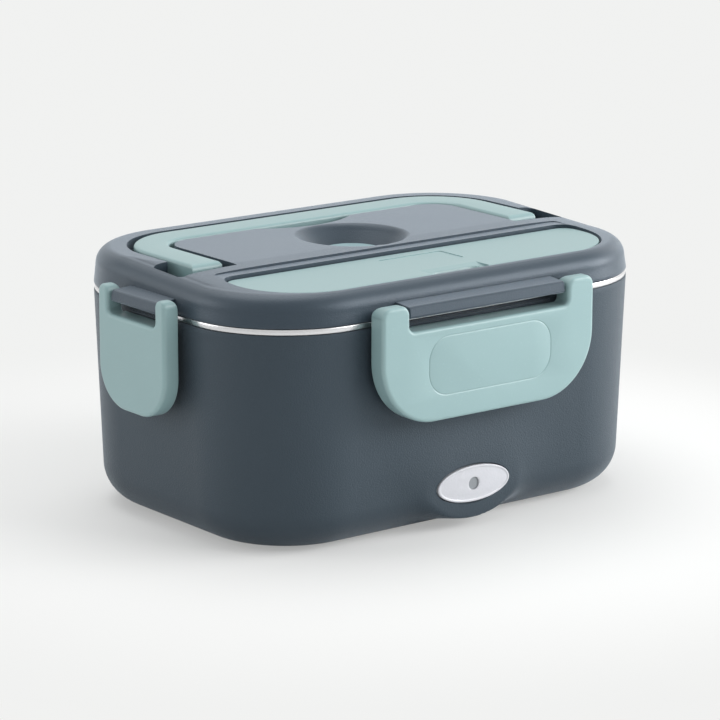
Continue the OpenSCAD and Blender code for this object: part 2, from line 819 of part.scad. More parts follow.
module lid_liner() {
    plug_wall_r = corner_r - container_inset - steel_t - 0.7;
    color("#6b747a") difference() {
        union() {
            rounded_slab(corner_r - lid_wall - 0.6, liner_z, liner_z + liner_t);
            rounded_slab(plug_wall_r, liner_z - 3.4, liner_z + 0.1);
            for (p = peg_at) translate([p[0], p[1], liner_z])
                cylinder(h = liner_t + 4.6, r = peg_r);
        }
        rounded_slab(plug_wall_r - 1.5, liner_z - 4.4, liner_z);
        difference() {
            rounded_slab(corner_r - 5.5, liner_z - over, liner_z + 1);
            rounded_slab(corner_r - container_inset - 0.3, liner_z - 2 * over,
                liner_z + 1 + over);
        }
        translate([0, bowl_y, liner_z - over]) cylinder(h = 5, r = stem_r + 0.6);
    }
}

module lid_seal() {
    color("#e4e6e4") difference() {
        rounded_slab(corner_r - 5.6, seal_z, liner_z + 1);
        rounded_slab(corner_r - container_inset - 0.2, seal_z - over, liner_z + 1 + over);
    }
}

module latch_pins() {
    long_pin = long_half - pin_depth;
    short_pin = short_half - 2;
    color(steel) {
        on_front() latch_bore(long_pin, 0);
        on_back() latch_bore(long_pin, 0);
        on_left() latch_bore(short_pin, 0);
        on_right() latch_bore(short_pin, 0);
    }
}

module handle_pins() {
    color(steel) for (s = [-1, 1]) mirror([s < 0 ? 1 : 0, 0, 0])
        rod_x(handle_half - 8, slot_half + 2.6, pivot_y, pivot_z, handle_pin_r);
}

module cover_pins() {
    color(steel) for (s = [-1, 1]) mirror([s < 0 ? 1 : 0, 0, 0])
        rod_x(cover_half - 9, cover_half + cover_gap + well_wall, hinge_y, hinge_z,
            cover_pin_r);
}

// ---- pieces that move on the lid ----

// Cross-section of the handle's bar: rounded top edges, from r0 out
module bar_section(r0) {
    top_r = 1.8;
    translate([r0, handle_low]) square([handle_w, handle_t - top_r]);
    translate([r0 + top_r, handle_low]) square([handle_w - 2 * top_r, handle_t]);
    for (x = [top_r, handle_w - top_r])
        translate([r0 + x, handle_top - top_r]) circle(top_r);
}

module handle() {
    turn_x = handle_half - handle_r;
    turn_y = handle_back - handle_r;
    arm_y = pivot_y - arm_end;
    color(mint) difference() {
        union() {
            for (s = [0, 1]) mirror([s, 0, 0]) {
                translate([turn_x, turn_y, 0]) {
                    rotate_extrude(angle = 90) bar_section(handle_r - handle_w);
                    rotate([90, 0, 0]) linear_extrude(turn_y - arm_y)
                        bar_section(handle_r - handle_w);
                }
                rod_x(handle_half - handle_w, handle_half, pivot_y, pivot_z, 3.9);
                rod_x(handle_half - 1, slot_half - fit_gap, pivot_y, pivot_z, boss_r);
            }
            translate([-turn_x, turn_y, 0]) rotate([90, 0, 90])
                linear_extrude(2 * turn_x) bar_section(handle_r - handle_w);
        }
        for (s = [0, 1]) mirror([s, 0, 0]) {
            rod_x(handle_half - 8.4, slot_half, pivot_y, pivot_z, handle_pin_r + pin_gap);
            difference() {
                translate([0, arm_y - over, handle_top - 3])
                    cube([handle_half + over, 3 + over, 3 + over]);
                rod_x(-over, handle_half + 2 * over, arm_y + 3, handle_top - 3, 3);
            }
        }
    }
}

module cover_outline(shrink) {
    panel(cover_half - shrink, cover_front + shrink, cover_back - shrink,
        cover_front_r - shrink, cover_back_r - shrink);
}

module cutlery_cover() {
    notch_half = 14.5;
    color(mint) difference() {
        union() {
            translate([0, 0, cover_z]) linear_extrude(cover_t) cover_outline(0);
            translate([0, 0, cover_z - 1.5]) linear_extrude(1.5) difference() {
                cover_outline(4);
                cover_outline(5.4);
            }
            for (s = [0, 1]) mirror([s, 0, 0])
                rod_x(cover_half - barrel_len, cover_half, hinge_y, hinge_z, barrel_r);
        }
        for (s = [0, 1]) mirror([s, 0, 0])
            rod_x(cover_half - 9.4, cover_half + over, hinge_y, hinge_z,
                cover_pin_r + pin_gap);
        // shallow panel and the finger notch at the front edge
        translate([-18.5, cover_back - 24, cover_top - 0.3]) cube([37, 18, 1]);
        translate([0, 0, cover_z - 3]) linear_extrude(9)
            panel(notch_half, cover_front - 8, cover_front + 5.4, 2, 5);
        translate([-notch_half - 2, cover_front + 10, cover_top]) rotate([9.5, 0, 0])
            translate([0, -14, 0]) cube([2 * notch_half + 4, 14, 3]);
    }
}

module steam_plug() {
    cap_z = bowl_z + lift_gap;
    barb_z = liner_z - plug_lift - 1.3;
    color(mint) translate([0, bowl_y, 0]) rotate_extrude() difference() {
        union() {
            translate([0, cap_z]) square([plug_r - 0.7, plug_t]);
            translate([0, cap_z]) square([plug_r, plug_t - 0.7]);
            translate([plug_r - 0.7, cap_z + plug_t - 0.7]) circle(0.7);
            translate([0, barb_z]) square([stem_r, cap_z + 0.1 - barb_z]);
            translate([stem_r - 1, barb_z]) square([2.6, 1.1]);
        }
        translate([-1, barb_z - 1]) square([stem_r - 1, cap_z - barb_z]);
    }
}

// ---- latches ----

module latch_blank(half, corner, back_u) {
    soft = 1.2;
    tip_r = 4.5;
    hull() for (s = [-1, 1]) {
        for (layer = [[latch_depth - soft, 0], [latch_depth, soft]]) {
            translate([s * (half - corner), -back_u, latch_low + corner])
                rotate([90, 0, 0]) intersection() {
                    cylinder(h = layer[0] - back_u, r = corner - layer[1], $fn = 40);
                    translate([-corner, -corner, 0])
                        cube([2 * corner, corner, latch_depth]);
                }
            translate([s * (half - tip_r), -back_u, latch_top - tip_r])
                rotate([90, 0, 0])
                    cylinder(h = layer[0] - back_u, r = tip_r - layer[1], $fn = 32);
        }
    }
}

// Latch at the front: ears on the pin, a hook wall under the catch rib, an open back
module latch(half, ear, corner, pin_half, ribs) {
    slot = half - ear;
    tip_r = 4.5;
    deep = 2 * latch_depth;
    color(mint) difference() {
        latch_blank(half, corner, latch_u0);
        // slot between the ears
        upright(-deep, over) {
            panel(slot, slot_low, latch_top + 20, 3, 1);
            for (s = [-1, 1]) translate([s * (slot + tip_r), latch_top - tip_r])
                difference() {
                    translate([s > 0 ? -tip_r - 0.1 : 0, 0]) square([tip_r + 0.1, tip_r + over]);
                    circle(tip_r);
                }
        }
        // room behind the face, and the hook wall cut back from the catch rib
        difference() {
            upright(-latch_depth + latch_wall, over)
                panel(half - latch_wall, latch_low + latch_wall, slot_low - latch_wall,
                    corner - latch_wall, 2);
            for (x = ribs) translate([x - 0.8, -latch_depth, latch_low])
                cube([1.6, latch_wall + 4, slot_low - latch_low]);
        }
        translate([-slot, -hook_u, latch_low - over])
            cube([2 * slot, hook_u + over, slot_low - latch_low + 2 * over]);
        // ears rounded about the pin at the back, and softened at the front
        difference() {
            translate([-half - over, -latch_pin_out, latch_pin_z])
                cube([2 * half + 2 * over, latch_pin_out + over, 9]);
            rod_x(-half - 2 * over, half + 2 * over, -latch_pin_out, latch_pin_z, ear_turn_r);
        }
        difference() {
            translate([-half - over, -latch_depth - over, latch_top - 2])
                cube([2 * half + 2 * over, 2 + over, 2 + over]);
            rod_x(-half - 2 * over, half + 2 * over, -latch_depth + 2, latch_top - 2, 2);
        }
        latch_bore(pin_half + 0.4, pin_gap);
    }
}

module long_latch() {
    latch(long_half, long_ear, long_corner, long_half - pin_depth, [-26, 26]);
}

module side_latch() {
    latch(short_half, short_ear, short_corner, short_half - 2, []);
}

module latch_front() { on_front() long_latch(); }
module latch_back() { on_back() long_latch(); }
module latch_left() { on_left() side_latch(); }
module latch_right() { on_right() side_latch(); }

outer_shell();
inner_tub();
base_cover();
feet();
base_screws();
heating_plate();
heaters();
heater_clamp();
clamp_screws();
thermostat();
thermal_fuse();
led_board();
led();
lamp_lens();
power_socket();
socket_pins();
heater_leads();
lamp_leads();
steel_container();
lid_shell();
lid_liner();
lid_seal();
latch_pins();
handle_pins();
cover_pins();
handle();
cutlery_cover();
steam_plug();
latch_front();
latch_back();
latch_left();
latch_right();
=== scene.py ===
"""Looks of the electric lunch box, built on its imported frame. Metres; shapes are written in
millimetres and scaled once, where a mesh is made."""

import json

import bmesh
import bpy
import numpy as np
from mathutils import Matrix, Vector


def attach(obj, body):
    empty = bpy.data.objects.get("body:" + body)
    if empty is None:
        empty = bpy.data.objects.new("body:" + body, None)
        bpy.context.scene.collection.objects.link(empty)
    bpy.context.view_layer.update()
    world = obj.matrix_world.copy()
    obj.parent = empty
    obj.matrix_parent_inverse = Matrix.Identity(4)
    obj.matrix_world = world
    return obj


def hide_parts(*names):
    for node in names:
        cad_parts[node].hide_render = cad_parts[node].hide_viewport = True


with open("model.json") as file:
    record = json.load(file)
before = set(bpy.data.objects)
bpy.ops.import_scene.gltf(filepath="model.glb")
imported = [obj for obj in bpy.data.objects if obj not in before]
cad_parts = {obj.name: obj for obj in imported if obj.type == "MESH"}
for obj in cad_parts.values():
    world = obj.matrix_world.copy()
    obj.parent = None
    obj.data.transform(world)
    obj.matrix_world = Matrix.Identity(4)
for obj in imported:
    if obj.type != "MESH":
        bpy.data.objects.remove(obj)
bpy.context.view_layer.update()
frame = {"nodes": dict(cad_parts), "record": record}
nodes = frame["nodes"]

# ---- driving values, in millimetres ----
BODY_L, BODY_W, BODY_H = 240.0, 166.3, 102.1
CX, CY, CORNER = 68.4, 31.55, 51.6
LEAN = 3.8 / BODY_H
LID_Z0, LID_TOP, LID_DROP, LID_EDGE, LID_LEAN = 105.3, 122.1, 2.8, 8.1, 0.9
FLAT_R = CORNER - LID_LEAN - LID_EDGE
GROOVE_Z, SLOT_Z, POCKET_Z, BOWL_Z = 112.0, 108.4, 110.5, 112.0
COVER_Z, COVER_TOP = 117.0, 119.2
LAMP_Z, INLET_Z = 21.0, 22.2
BOSS_Y = BODY_W / 2
LENS_HALF, LENS_RISE, LENS_DEPTH, LENS_GAP = 21.0, 8.5, 2.6, 0.4
LENS_FACE = -BOSS_Y - 0.7
BOWL_Y, BOWL_R, BOWL_LIP_R, BOWL_FLOOR_R = 8.2, 27.5, 24.0, 16.6
PIN_Z = 108.2
HINGE_Y, HINGE_Z = -32.5, 116.9
PIVOT_Y, PIVOT_Z = -1.5, 113.4


# ---- signed distances to flat outlines: negative inside ----
def panel(x, y, half, front, back, front_r, back_r):
    """Rounded rectangle |x| < half, front < y < back; one radius for each end."""
    near, far = front + front_r - y, y - back + back_r
    r = np.where(near > far, front_r, back_r)
    qx = np.abs(x) - half + r
    qy = np.maximum(near, far)
    return np.minimum(np.maximum(qx, qy), 0) + np.hypot(np.maximum(qx, 0), np.maximum(qy, 0)) - r


def disc(x, y, cx, cy, r):
    """Distance from a centre, less the radius."""
    return np.hypot(x - cx, y - cy) - r


def both(a, b, r):
    """What two outlines share, with its outer corners rounded."""
    return np.minimum(np.maximum(a, b), -r) + np.hypot(np.maximum(a + r, 0), np.maximum(b + r, 0))


def plan_radius(x, y):
    """Distance from the rectangle of the plan's corner centres: every ring of body and lid."""
    return np.hypot(np.maximum(np.abs(x) - CX, 0), np.maximum(np.abs(y) - CY, 0))


def smooth(t):
    """3t^2 - 2t^3, held between 0 and 1."""
    t = np.clip(t, 0, 1)
    return t * t * (3 - 2 * t)


# ---- meshes ----
def piece(name, points, faces, body, angle=35, up=None):
    """Mesh from millimetre points; doubles merged, normals outwards (or towards up, for an
    open sheet), creases past angle."""
    mesh = bpy.data.meshes.new(name)
    mesh.from_pydata((np.asarray(points, float) / 1000).tolist(), [], [list(f) for f in faces])
    obj = bpy.data.objects.new(name, mesh)
    bpy.context.scene.collection.objects.link(obj)
    bm = bmesh.new()
    bm.from_mesh(mesh)
    bmesh.ops.remove_doubles(bm, verts=bm.verts, dist=1e-6)
    bmesh.ops.dissolve_degenerate(bm, edges=bm.edges, dist=1e-7)
    bmesh.ops.recalc_face_normals(bm, faces=bm.faces)
    bm.normal_update()
    middle = np.mean([v.co for v in bm.verts], axis=0)
    n = np.array([f.normal for f in bm.faces]) * np.array([[f.calc_area()] for f in bm.faces])
    c = np.array([f.calc_center_median() for f in bm.faces]) - middle
    outwards = n @ np.array(up, float) if up else (n * c).sum(1)
    if outwards.sum() < 0:
        bmesh.ops.reverse_faces(bm, faces=bm.faces)
    bm.to_mesh(mesh)
    bm.free()
    mesh.shade_smooth()
    mesh.set_sharp_from_angle(angle=np.radians(angle))
    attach(obj, body)
    return obj


def grid_faces(rows, cols, wrap=True):
    """Quads between neighbouring rows of a grid; wrap closes each row on itself."""
    i = np.arange(rows - 1)[:, None]
    j = np.arange(cols if wrap else cols - 1)[None, :]
    k = (j + 1) % cols
    a, b = i * cols + j, i * cols + k
    c, d = (i + 1) * cols + k, (i + 1) * cols + j
    return np.stack([a, b, c, d], -1).reshape(-1, 4)


def plan_ring(step=3.0, arc=24):
    """Unit ring of the rounded plan: corner centre and outward direction of each point."""
    t = np.linspace(0, np.pi / 2, arc + 1)
    n = [int(2 * CX / step), int(2 * CY / step)]
    centre, out = [], []
    for q, (sx, sy) in enumerate([(1, 1), (-1, 1), (-1, -1), (1, -1)]):
        a = t + q * np.pi / 2
        centre.append(np.tile([sx * CX, sy * CY], (arc + 1, 1)))
        out.append(np.stack([np.cos(a), np.sin(a)], -1))
        s = np.linspace(0, 1, n[q % 2] + 1)[1:-1, None]
        nxt = [(-1, 1), (-1, -1), (1, -1), (1, 1)][q]
        run = np.array([sx * CX, sy * CY]) * (1 - s) + np.array([nxt[0] * CX, nxt[1] * CY]) * s
        centre.append(run)
        out.append(np.tile(out[-1][-1], (len(run), 1)))
    return np.concatenate(centre), np.concatenate(out)


RING_C, RING_N = plan_ring()


def plan_loft(name, profile, body, sink=None, angle=35, close=(False, False)):
    """Profile (r, z) carried round the plan ring: point = corner centre + r * direction.
    sink(x, y, r, z) lowers points; close fills the first or last ring with a flat face."""
    profile = np.asarray(profile, float)
    xy = RING_C[None] + profile[:, None, :1] * RING_N[None]
    z = np.broadcast_to(profile[:, 1:2], xy.shape[:2]).copy()
    if sink:
        z -= sink(xy[..., 0], xy[..., 1], np.broadcast_to(profile[:, :1], z.shape), z)
    points = np.concatenate([xy, z[..., None]], -1).reshape(-1, 3)
    m, n = z.shape
    faces = grid_faces(m, n).tolist()
    if close[0]:
        faces.append(list(range(n))[::-1])
    if close[1]:
        faces.append(list(range((m - 1) * n, m * n)))
    return piece(name, points, faces, body, angle)


def arc_points(cx, cz, r, a0, a1, n=8):
    """Points on a circle from angle a0 to a1, in degrees."""
    a = np.radians(np.linspace(a0, a1, n))
    return np.stack([cx + r * np.cos(a), cz + r * np.sin(a)], -1)


def terrace(window, step, outer, cuts):
    """Triangles over a flat outline, in zones: grid vertices near a zero line of outer or of
    a cut are moved onto it, along the line's own slope, so that no cell edge crosses a line;
    one that is on a line already slides along it onto the next. Returns the flat places,
    the triangles, each triangle's zone and the cuts that hold it."""
    x0, x1, y0, y1 = window
    nx, ny = int(np.ceil((x1 - x0) / step)), int(np.ceil((y1 - y0) / step))
    x, y = np.meshgrid(np.linspace(x0, x1, nx + 1), np.linspace(y0, y1, ny + 1), indexing="ij")
    hx, hy = (x1 - x0) / nx, (y1 - y0) / ny
    e, reach, reach_again, least_slope = 1e-3, 0.56, 0.7, 0.3
    held = np.zeros(x.shape, int)
    tx, ty = np.zeros(x.shape), np.zeros(x.shape)
    for f in [outer] + list(cuts):
        for again in range(3):
            v = f(x, y)
            gx, gy = (f(x + e, y) - v) / e, (f(x, y + e) - v) / e
            g = np.maximum(np.hypot(gx, gy), 1e-6)
            near = np.abs(v) / g < (reach_again if again else reach) * max(hx, hy)
            if again == 0:
                first = near
            near &= first
            ux, uy = gx / g, gy / g
            along = ux * tx + uy * ty
            free = near & (held == 0)
            slide = near & (held == 1) & (np.abs(along) > least_slope)
            move = np.where(free, -v / g, 0)
            x, y = x + move * ux, y + move * uy
            push = np.where(slide, -v / (g * np.where(slide, along, 1)), 0)
            push = np.clip(push, -0.8 * step, 0.8 * step)
            x, y = x + push * tx, y + push * ty
        now = first & (held == 0)
        tx, ty = np.where(now, -uy, tx), np.where(now, ux, ty)
        held = np.where(now, 1, held)
    i, j = np.meshgrid(np.arange(nx), np.arange(ny), indexing="ij")
    a, b = i * (ny + 1) + j, (i + 1) * (ny + 1) + j
    c, d = b + 1, a + 1
    X, Y = x.ravel(), y.ravel()
    H = held.ravel()
    ac = (H[a] + H[c]) >= (H[b] + H[d])
    t1 = np.where(ac[..., None], np.stack([a, b, c], -1), np.stack([a, b, d], -1))
    t2 = np.where(ac[..., None], np.stack([a, c, d], -1), np.stack([b, c, d], -1))
    tri = np.concatenate([t1.reshape(-1, 3), t2.reshape(-1, 3)])
    per_mm = 2000  # vertices closer than this fineness are one
    spot = np.round(np.stack([X, Y], -1) * per_mm).astype(int)
    first, same = np.unique(spot, axis=0, return_index=True, return_inverse=True)[1:]
    tri = first[same.ravel()][tri]
    area = ((X[tri[:, 1]] - X[tri[:, 0]]) * (Y[tri[:, 2]] - Y[tri[:, 0]])
            - (X[tri[:, 2]] - X[tri[:, 0]]) * (Y[tri[:, 1]] - Y[tri[:, 0]]))
    mx, my = X[tri].mean(1), Y[tri].mean(1)
    keep = (outer(mx, my) < 0) & (np.abs(area) > 1e-5)
    tri, mx, my = tri[keep], mx[keep], my[keep]
    inside = np.stack([f(mx, my) < 0 for f in cuts], -1) if cuts else np.zeros((len(tri), 0), bool)
    code = (inside * (1 << np.arange(inside.shape[1]))).sum(1) if cuts else np.zeros(len(tri), int)
    return X, Y, tri, code, inside


def sheet_mesh(window, step, outer, cuts, level, rim=None, ease=0.45):
    """Terrace in 3D. Each zone gets its own copy of its vertices at its own height; walls of
    three rows join the copies, with a short row at top and foot that rounds the shading.
    rim(x, y, z) gives the rows (x, y, z) carried on from the outline, outermost last."""
    X, Y, tri, code, inside = terrace(window, step, outer, cuts)
    zones, zone = np.unique(code, return_inverse=True)
    points, faces, count = [], [], 0
    index = -np.ones((len(zones), len(X)), int)
    height = np.zeros((len(zones), len(X)))
    for k in range(len(zones)):
        mine = tri[zone == k]
        used = np.unique(mine)
        flags = inside[zone == k][0] if inside.shape[1] else np.zeros(0, bool)
        z = level(X[used], Y[used], flags)
        index[k, used] = count + np.arange(len(used))
        height[k, used] = z
        points.append(np.stack([X[used], Y[used], z], -1))
        faces += index[k][mine].tolist()
        count += len(used)
    edge = np.concatenate([tri[:, [0, 1]], tri[:, [1, 2]], tri[:, [2, 0]]])
    owner = np.concatenate([zone] * 3)
    key = np.sort(edge, 1)
    order = np.lexsort((key[:, 1], key[:, 0]))
    key, owner = key[order], owner[order]
    same = (key[1:] == key[:-1]).all(1)
    pair = np.flatnonzero(same)
    cross = pair[owner[pair] != owner[pair + 1]]
    p, q = key[cross, 0], key[cross, 1]
    za, zb = owner[cross], owner[cross + 1]
    rows = []
    for v in (p, q):
        ha, hb = height[za, v], height[zb, v]
        short = np.sign(hb - ha) * np.minimum(ease, np.abs(hb - ha) / 3)
        rows.append((index[za, v], ha + short, hb - short, index[zb, v]))
    if len(p):
        n = len(p)
        mid = [np.stack([X[v], Y[v], rows[s][1 + t]], -1)
               for s, v in enumerate((p, q)) for t in (0, 1)]
        points.append(np.concatenate(mid))
        ids = [count + t * n + np.arange(n) for t in range(4)]
        count += 4 * n
        for a0, b0, a1, b1 in ((rows[0][0], rows[1][0], ids[0], ids[2]),
                               (ids[0], ids[2], ids[1], ids[3]),
                               (ids[1], ids[3], rows[0][3], rows[1][3])):
            faces += np.stack([a0, b0, b1, a1], -1).tolist()
    alone = np.ones(len(key), bool)
    alone[pair] = False
    alone[pair + 1] = False
    p, q, zk = key[alone, 0], key[alone, 1], owner[alone]
    if rim is not None:
        n = len(p)
        last = (index[zk, p], index[zk, q])
        fp = rim(X[p], Y[p], height[zk, p])
        fq = rim(X[q], Y[q], height[zk, q])
        for rp, rq in zip(fp, fq):
            points += [np.stack(rp, -1), np.stack(rq, -1)]
            here = (count + np.arange(n), count + n + np.arange(n))
            count += 2 * n
            faces += np.stack([last[0], last[1], here[1], here[0]], -1).tolist()
            last = here
    return np.concatenate(points), faces


def slab(name, body, window, step, outer, cuts, front, back, more=(), angle=35):
    """Closed solid over a flat outline: a front and a back sheet on the same grid, joined
    along the outline by a wall with a short row at each end. more adds (points, faces)."""
    soft = 0.5

    def rim(x, y, z):
        end = back(x, y, np.zeros(len(cuts), bool))
        return [(x, y, z + np.clip(end - z, -soft, soft)), (x, y, end + np.clip(z - end, -soft, soft)),
                (x, y, end)]

    pf, ff = sheet_mesh(window, step, outer, cuts, front, rim)
    pb, fb = sheet_mesh(window, step, outer, cuts, back)
    points = np.concatenate([pf, pb])
    faces = ff + (np.array([f for f in fb if len(f) == 3]) + len(pf)).tolist()
    faces += (np.array([f for f in fb if len(f) == 4]).reshape(-1, 4) + len(pf)).astype(int).tolist()
    for p, f in more:
        faces += [[i + len(points) for i in one] for one in f]
        points = np.concatenate([points, p])
    return piece(name, points, faces, body, angle)


def rod(x0, x1, y, z, r, soft=0.3, n=32):
    """Round bar along x with softened ends: rings of radius r round one axis."""
    rows = [(x0, r - soft), (x0 + soft, r), (x1 - soft, r), (x1, r - soft)]
    a = np.linspace(0, 2 * np.pi, n, endpoint=False)
    pts = np.concatenate([np.stack([np.full(n, x), y + q * np.cos(a), z + q * np.sin(a)], -1)
                          for x, q in rows])
    faces = grid_faces(4, n).tolist() + [list(range(n))[::-1], list(range(3 * n, 4 * n))]
    return pts, faces


def prism(section, x0, x1):
    """Section of (y, z) points carried along x, closed at both ends."""
    sec = np.asarray(section, float)
    n = len(sec)
    pts = np.concatenate([np.column_stack([np.full(n, x), sec]) for x in (x0, x1)])
    return pts, grid_faces(2, n).tolist() + [list(range(n))[::-1], list(range(n, 2 * n))]


def soften(obj, width, segments=3, angle=40):
    """Rounds the edges of a prism."""
    m = obj.modifiers.new("soft", "BEVEL")
    m.width = width / 1000
    m.segments = segments
    m.limit_method = "ANGLE"
    m.angle_limit = np.radians(angle)
    m.harden_normals = False


# ---- the four sides that carry a latch: u is the distance out from the wall ----
def on_side(side):
    """Maps (along, height, u) at a side to x, y, z; the sides are turned from the front."""
    half = BODY_W / 2 if side in ("front", "back") else BODY_L / 2
    turn = {"front": 0, "right": 1, "back": 2, "left": 3}[side]

    def place(p):
        a, h, u = p[:, 0], p[:, 1], p[:, 2]
        x, y = a, -half - u
        for _ in range(turn):
            x, y = -y, x
        return np.stack([x, y, h], -1)
    return place


def wall_at(r, z):
    """Radius of the leaning wall at a height."""
    return r - LEAN * (BODY_H - z)


def tub_rows(r, z0, edge, z1, n=12, rows=6):
    """Leaning wall and rounded bottom edge, from the top down to the floor."""
    zc = z0 + edge
    rc = wall_at(r, zc) - edge * np.hypot(1, LEAN)
    a = np.degrees(np.arctan(LEAN))
    low = arc_points(rc, zc, edge, -a, -90, n)
    zs = np.linspace(z1, low[0, 1], rows + 1)[:-1]
    return np.concatenate([np.stack([wall_at(r, zs), zs], -1), low])


def ellipse(x, y, a, b):
    """Distance to an oval, near its edge."""
    k0 = np.maximum(np.hypot(x / a, y / b), 1e-6)
    k1 = np.maximum(np.hypot(x / a ** 2, y / b ** 2), 1e-9)
    return k0 * (k0 - 1) / k1


# ---- body ----
FOOT_Z, EDGE_R = 1.0, 18.5
EDGE_Z = FOOT_Z + EDGE_R


def wall_out(z):
    """How far the front wall stands out at a height: leaning, then round its bottom edge."""
    rc = wall_at(CORNER, EDGE_Z) - EDGE_R * np.hypot(1, LEAN)
    low = rc + np.sqrt(np.maximum(EDGE_R ** 2 - (EDGE_Z - z) ** 2, 0))
    return CY + np.where(z < EDGE_Z - EDGE_R * np.sin(np.arctan(LEAN)), low, wall_at(CORNER, z))


def lamp_boss(x, z):
    """How far the front wall is moved out: fully inside an inner oval, not at all past an
    outer one, eased between them; above the lamp it turns into a wide soft swelling that
    fades into the wall."""
    full, reach = (26, 16.0), (54, 18.4)
    low = np.minimum(z - LAMP_Z, 0)
    past = np.maximum((x / full[0]) ** 2 + (low / full[1]) ** 2 - 1, 0)
    left = np.maximum(1 - (x / reach[0]) ** 2 - (low / reach[1]) ** 2, 0)
    oval = smooth(left / (left + past + 1e-9))
    swelling = 1 - smooth((np.abs(x) - 16) / 38)
    turn = smooth((z - LAMP_Z + 6) / 16)
    share = (oval + (swelling - oval) * turn) * (1 - smooth((z - 26) / 32))
    return np.maximum(BOSS_Y - wall_out(z), 0) * share


def inlet_boss(x, z):
    """The back wall runs on straight down over its rounded edge inside an oval."""
    share = smooth(-ellipse(x, z - INLET_Z, 26, 16.5) / 1.2)
    return np.maximum(wall_at(BODY_W / 2, z) + 0.05 - wall_out(z), 0) * share


wall_rows = tub_rows(CORNER, FOOT_Z, EDGE_R, 101.6, 40, 38)
top_rows = [[50.4, 100], [50.4, 101.9], [50.55, 102.07], [50.8, 102.1], [51.2, 102.1], [51.45, 102.0]]
foot_rows = [[21.7, 1], [21.5, 1.1], [21.5, 2.9], [17.5, 2.9], [17.5, 4.4]]
body_rows = np.concatenate([top_rows, wall_rows, foot_rows])

# rings from a gap's square edge to a window: share of the way in, growth, step back
WINDOW_STEPS = ([(share, 0, 0) for share in (0, 0.2, 0.4, 0.58, 0.74, 0.86, 0.94)]
                + [(1, 0.45, 0), (1, 0.3, 0.02), (1, 0.12, 0.12), (1, 0, 0.35), (1, 0, 1.5), (1, 0, 5)])


def window_rings(edge, line, mid, sign, moved, rows):
    """Rings from the square edge of a gap in the wall to a window's outline. rows gives each
    ring's share of the way in, how far it is grown past the outline and its step back."""
    x, z = sign * edge[:, 0], edge[:, 2]
    lx, lz = line(x, z - mid)
    span = np.maximum(np.hypot(lx, lz), 1e-6)
    rings = []
    for share, grow, back in rows:
        wx, wz = lx * (1 + grow / span), lz * (1 + grow / span) + mid
        qx, qz = x * (1 - share) + wx * share, z * (1 - share) + wz * share
        out = wall_out(qz) + moved(qx, qz) - back
        rings.append(np.stack([sign * qx, -sign * out, qz], -1))
    rings[0] = edge
    return np.concatenate(rings)


def oval_line(a, b):
    """Point of an oval in the direction of x, z, by its angle."""
    def line(x, z):
        t = np.arctan2(z / b, x / a)
        return a * np.cos(t), b * np.sin(t)
    return line


def inlet_line(x, z):
    """Point of the inlet's outline, 25.4 by 14.4 with 6.7 mm corners, towards x, z."""
    a, b, r = 12.7, 7.2, 6.7
    t = np.arctan2(z / b, x / a)
    ux, uz = a * np.cos(t), b * np.sin(t)
    for _ in range(12):
        d = panel(ux, uz, a, -b, b, r, r)
        s = np.hypot(ux, uz)
        ux, uz = ux * (1 - d / s), uz * (1 - d / s)
    return ux, uz


def body_mesh():
    """Wall rows round the plan ring, moved out over both bosses; at each window a block of
    faces is left out and the window's rings are put there."""
    c, n = plan_ring(1.5, 24)
    xy = c[None] + body_rows[:, None, :1] * n[None]
    z = np.broadcast_to(body_rows[:, 1:], xy.shape[:2])
    first, last = len(top_rows), len(top_rows) + len(wall_rows)
    skin = np.zeros(z.shape, bool)
    skin[first:last] = True
    straight = np.abs(n[:, 0]) < 1e-6
    for side, moved in ((-1, lamp_boss), (1, inlet_boss)):
        here = skin & (straight & (n[:, 1] * side > 0))[None]
        xy[..., 1] += side * np.where(here, moved(xy[..., 0], z), 0)
    m, k = z.shape
    points = np.concatenate([xy, z[..., None]], -1)
    faces = grid_faces(m, k)
    keep = np.ones(len(faces), bool)
    r, q = faces[:, 0] // k, faces[:, 0] % k
    parts, more = [points.reshape(-1, 3)], []
    lens_hole = oval_line(LENS_HALF + LENS_GAP, LENS_RISE + LENS_GAP)
    windows = [(-1, LAMP_Z, lens_hole, lamp_boss, 29, 13), (1, INLET_Z, inlet_line, inlet_boss, 20, 11)]
    for side, mid, line, moved, wide, tall in windows:
        cols = np.flatnonzero(straight & (n[:, 1] * side > 0) & (np.abs(c[:, 0]) < wide))
        rows = first + np.flatnonzero(np.abs(wall_rows[:, 1] - mid) < tall)
        keep &= ~((r >= rows[0]) & (r < rows[-1]) & (q >= cols[0]) & (q < cols[-1]))
        loop = ([(rows[0], j) for j in cols] + [(i, cols[-1]) for i in rows[1:]]
                + [(rows[-1], j) for j in cols[-2::-1]] + [(i, cols[0]) for i in rows[-2:0:-1]])
        edge = points[tuple(np.array(loop).T)]
        more.append((sum(len(p) for p in parts), len(WINDOW_STEPS), len(edge)))
        parts.append(window_rings(edge, line, mid, -side, moved, WINDOW_STEPS))
    faces = faces[keep].tolist()
    for at, a, b in more:
        faces += (grid_faces(a, b) + at).tolist()
    return np.concatenate(parts), faces


p, f = body_mesh()
body = piece("body_shell", p, f, "base", angle=50)
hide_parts("outer_shell")


def side_bars(name, section, long_half, short_half, body):
    """A bar of one (out, height) section on each of the four sides."""
    made = []
    halves = {"front": long_half, "back": long_half, "left": short_half, "right": short_half}
    for side, half in halves.items():
        p, f = prism(section, -half, half)
        made.append(piece(name + side, on_side(side)(p[:, [0, 2, 1]]), f, body))
    return made


RIB = [(-1, 100.5), (0.7, 100.5), (1.1, 100.9), (1.1, 101.5), (-1, 101.9)]
ribs = side_bars("catch_rib_", RIB, 44, 16.9, "base")

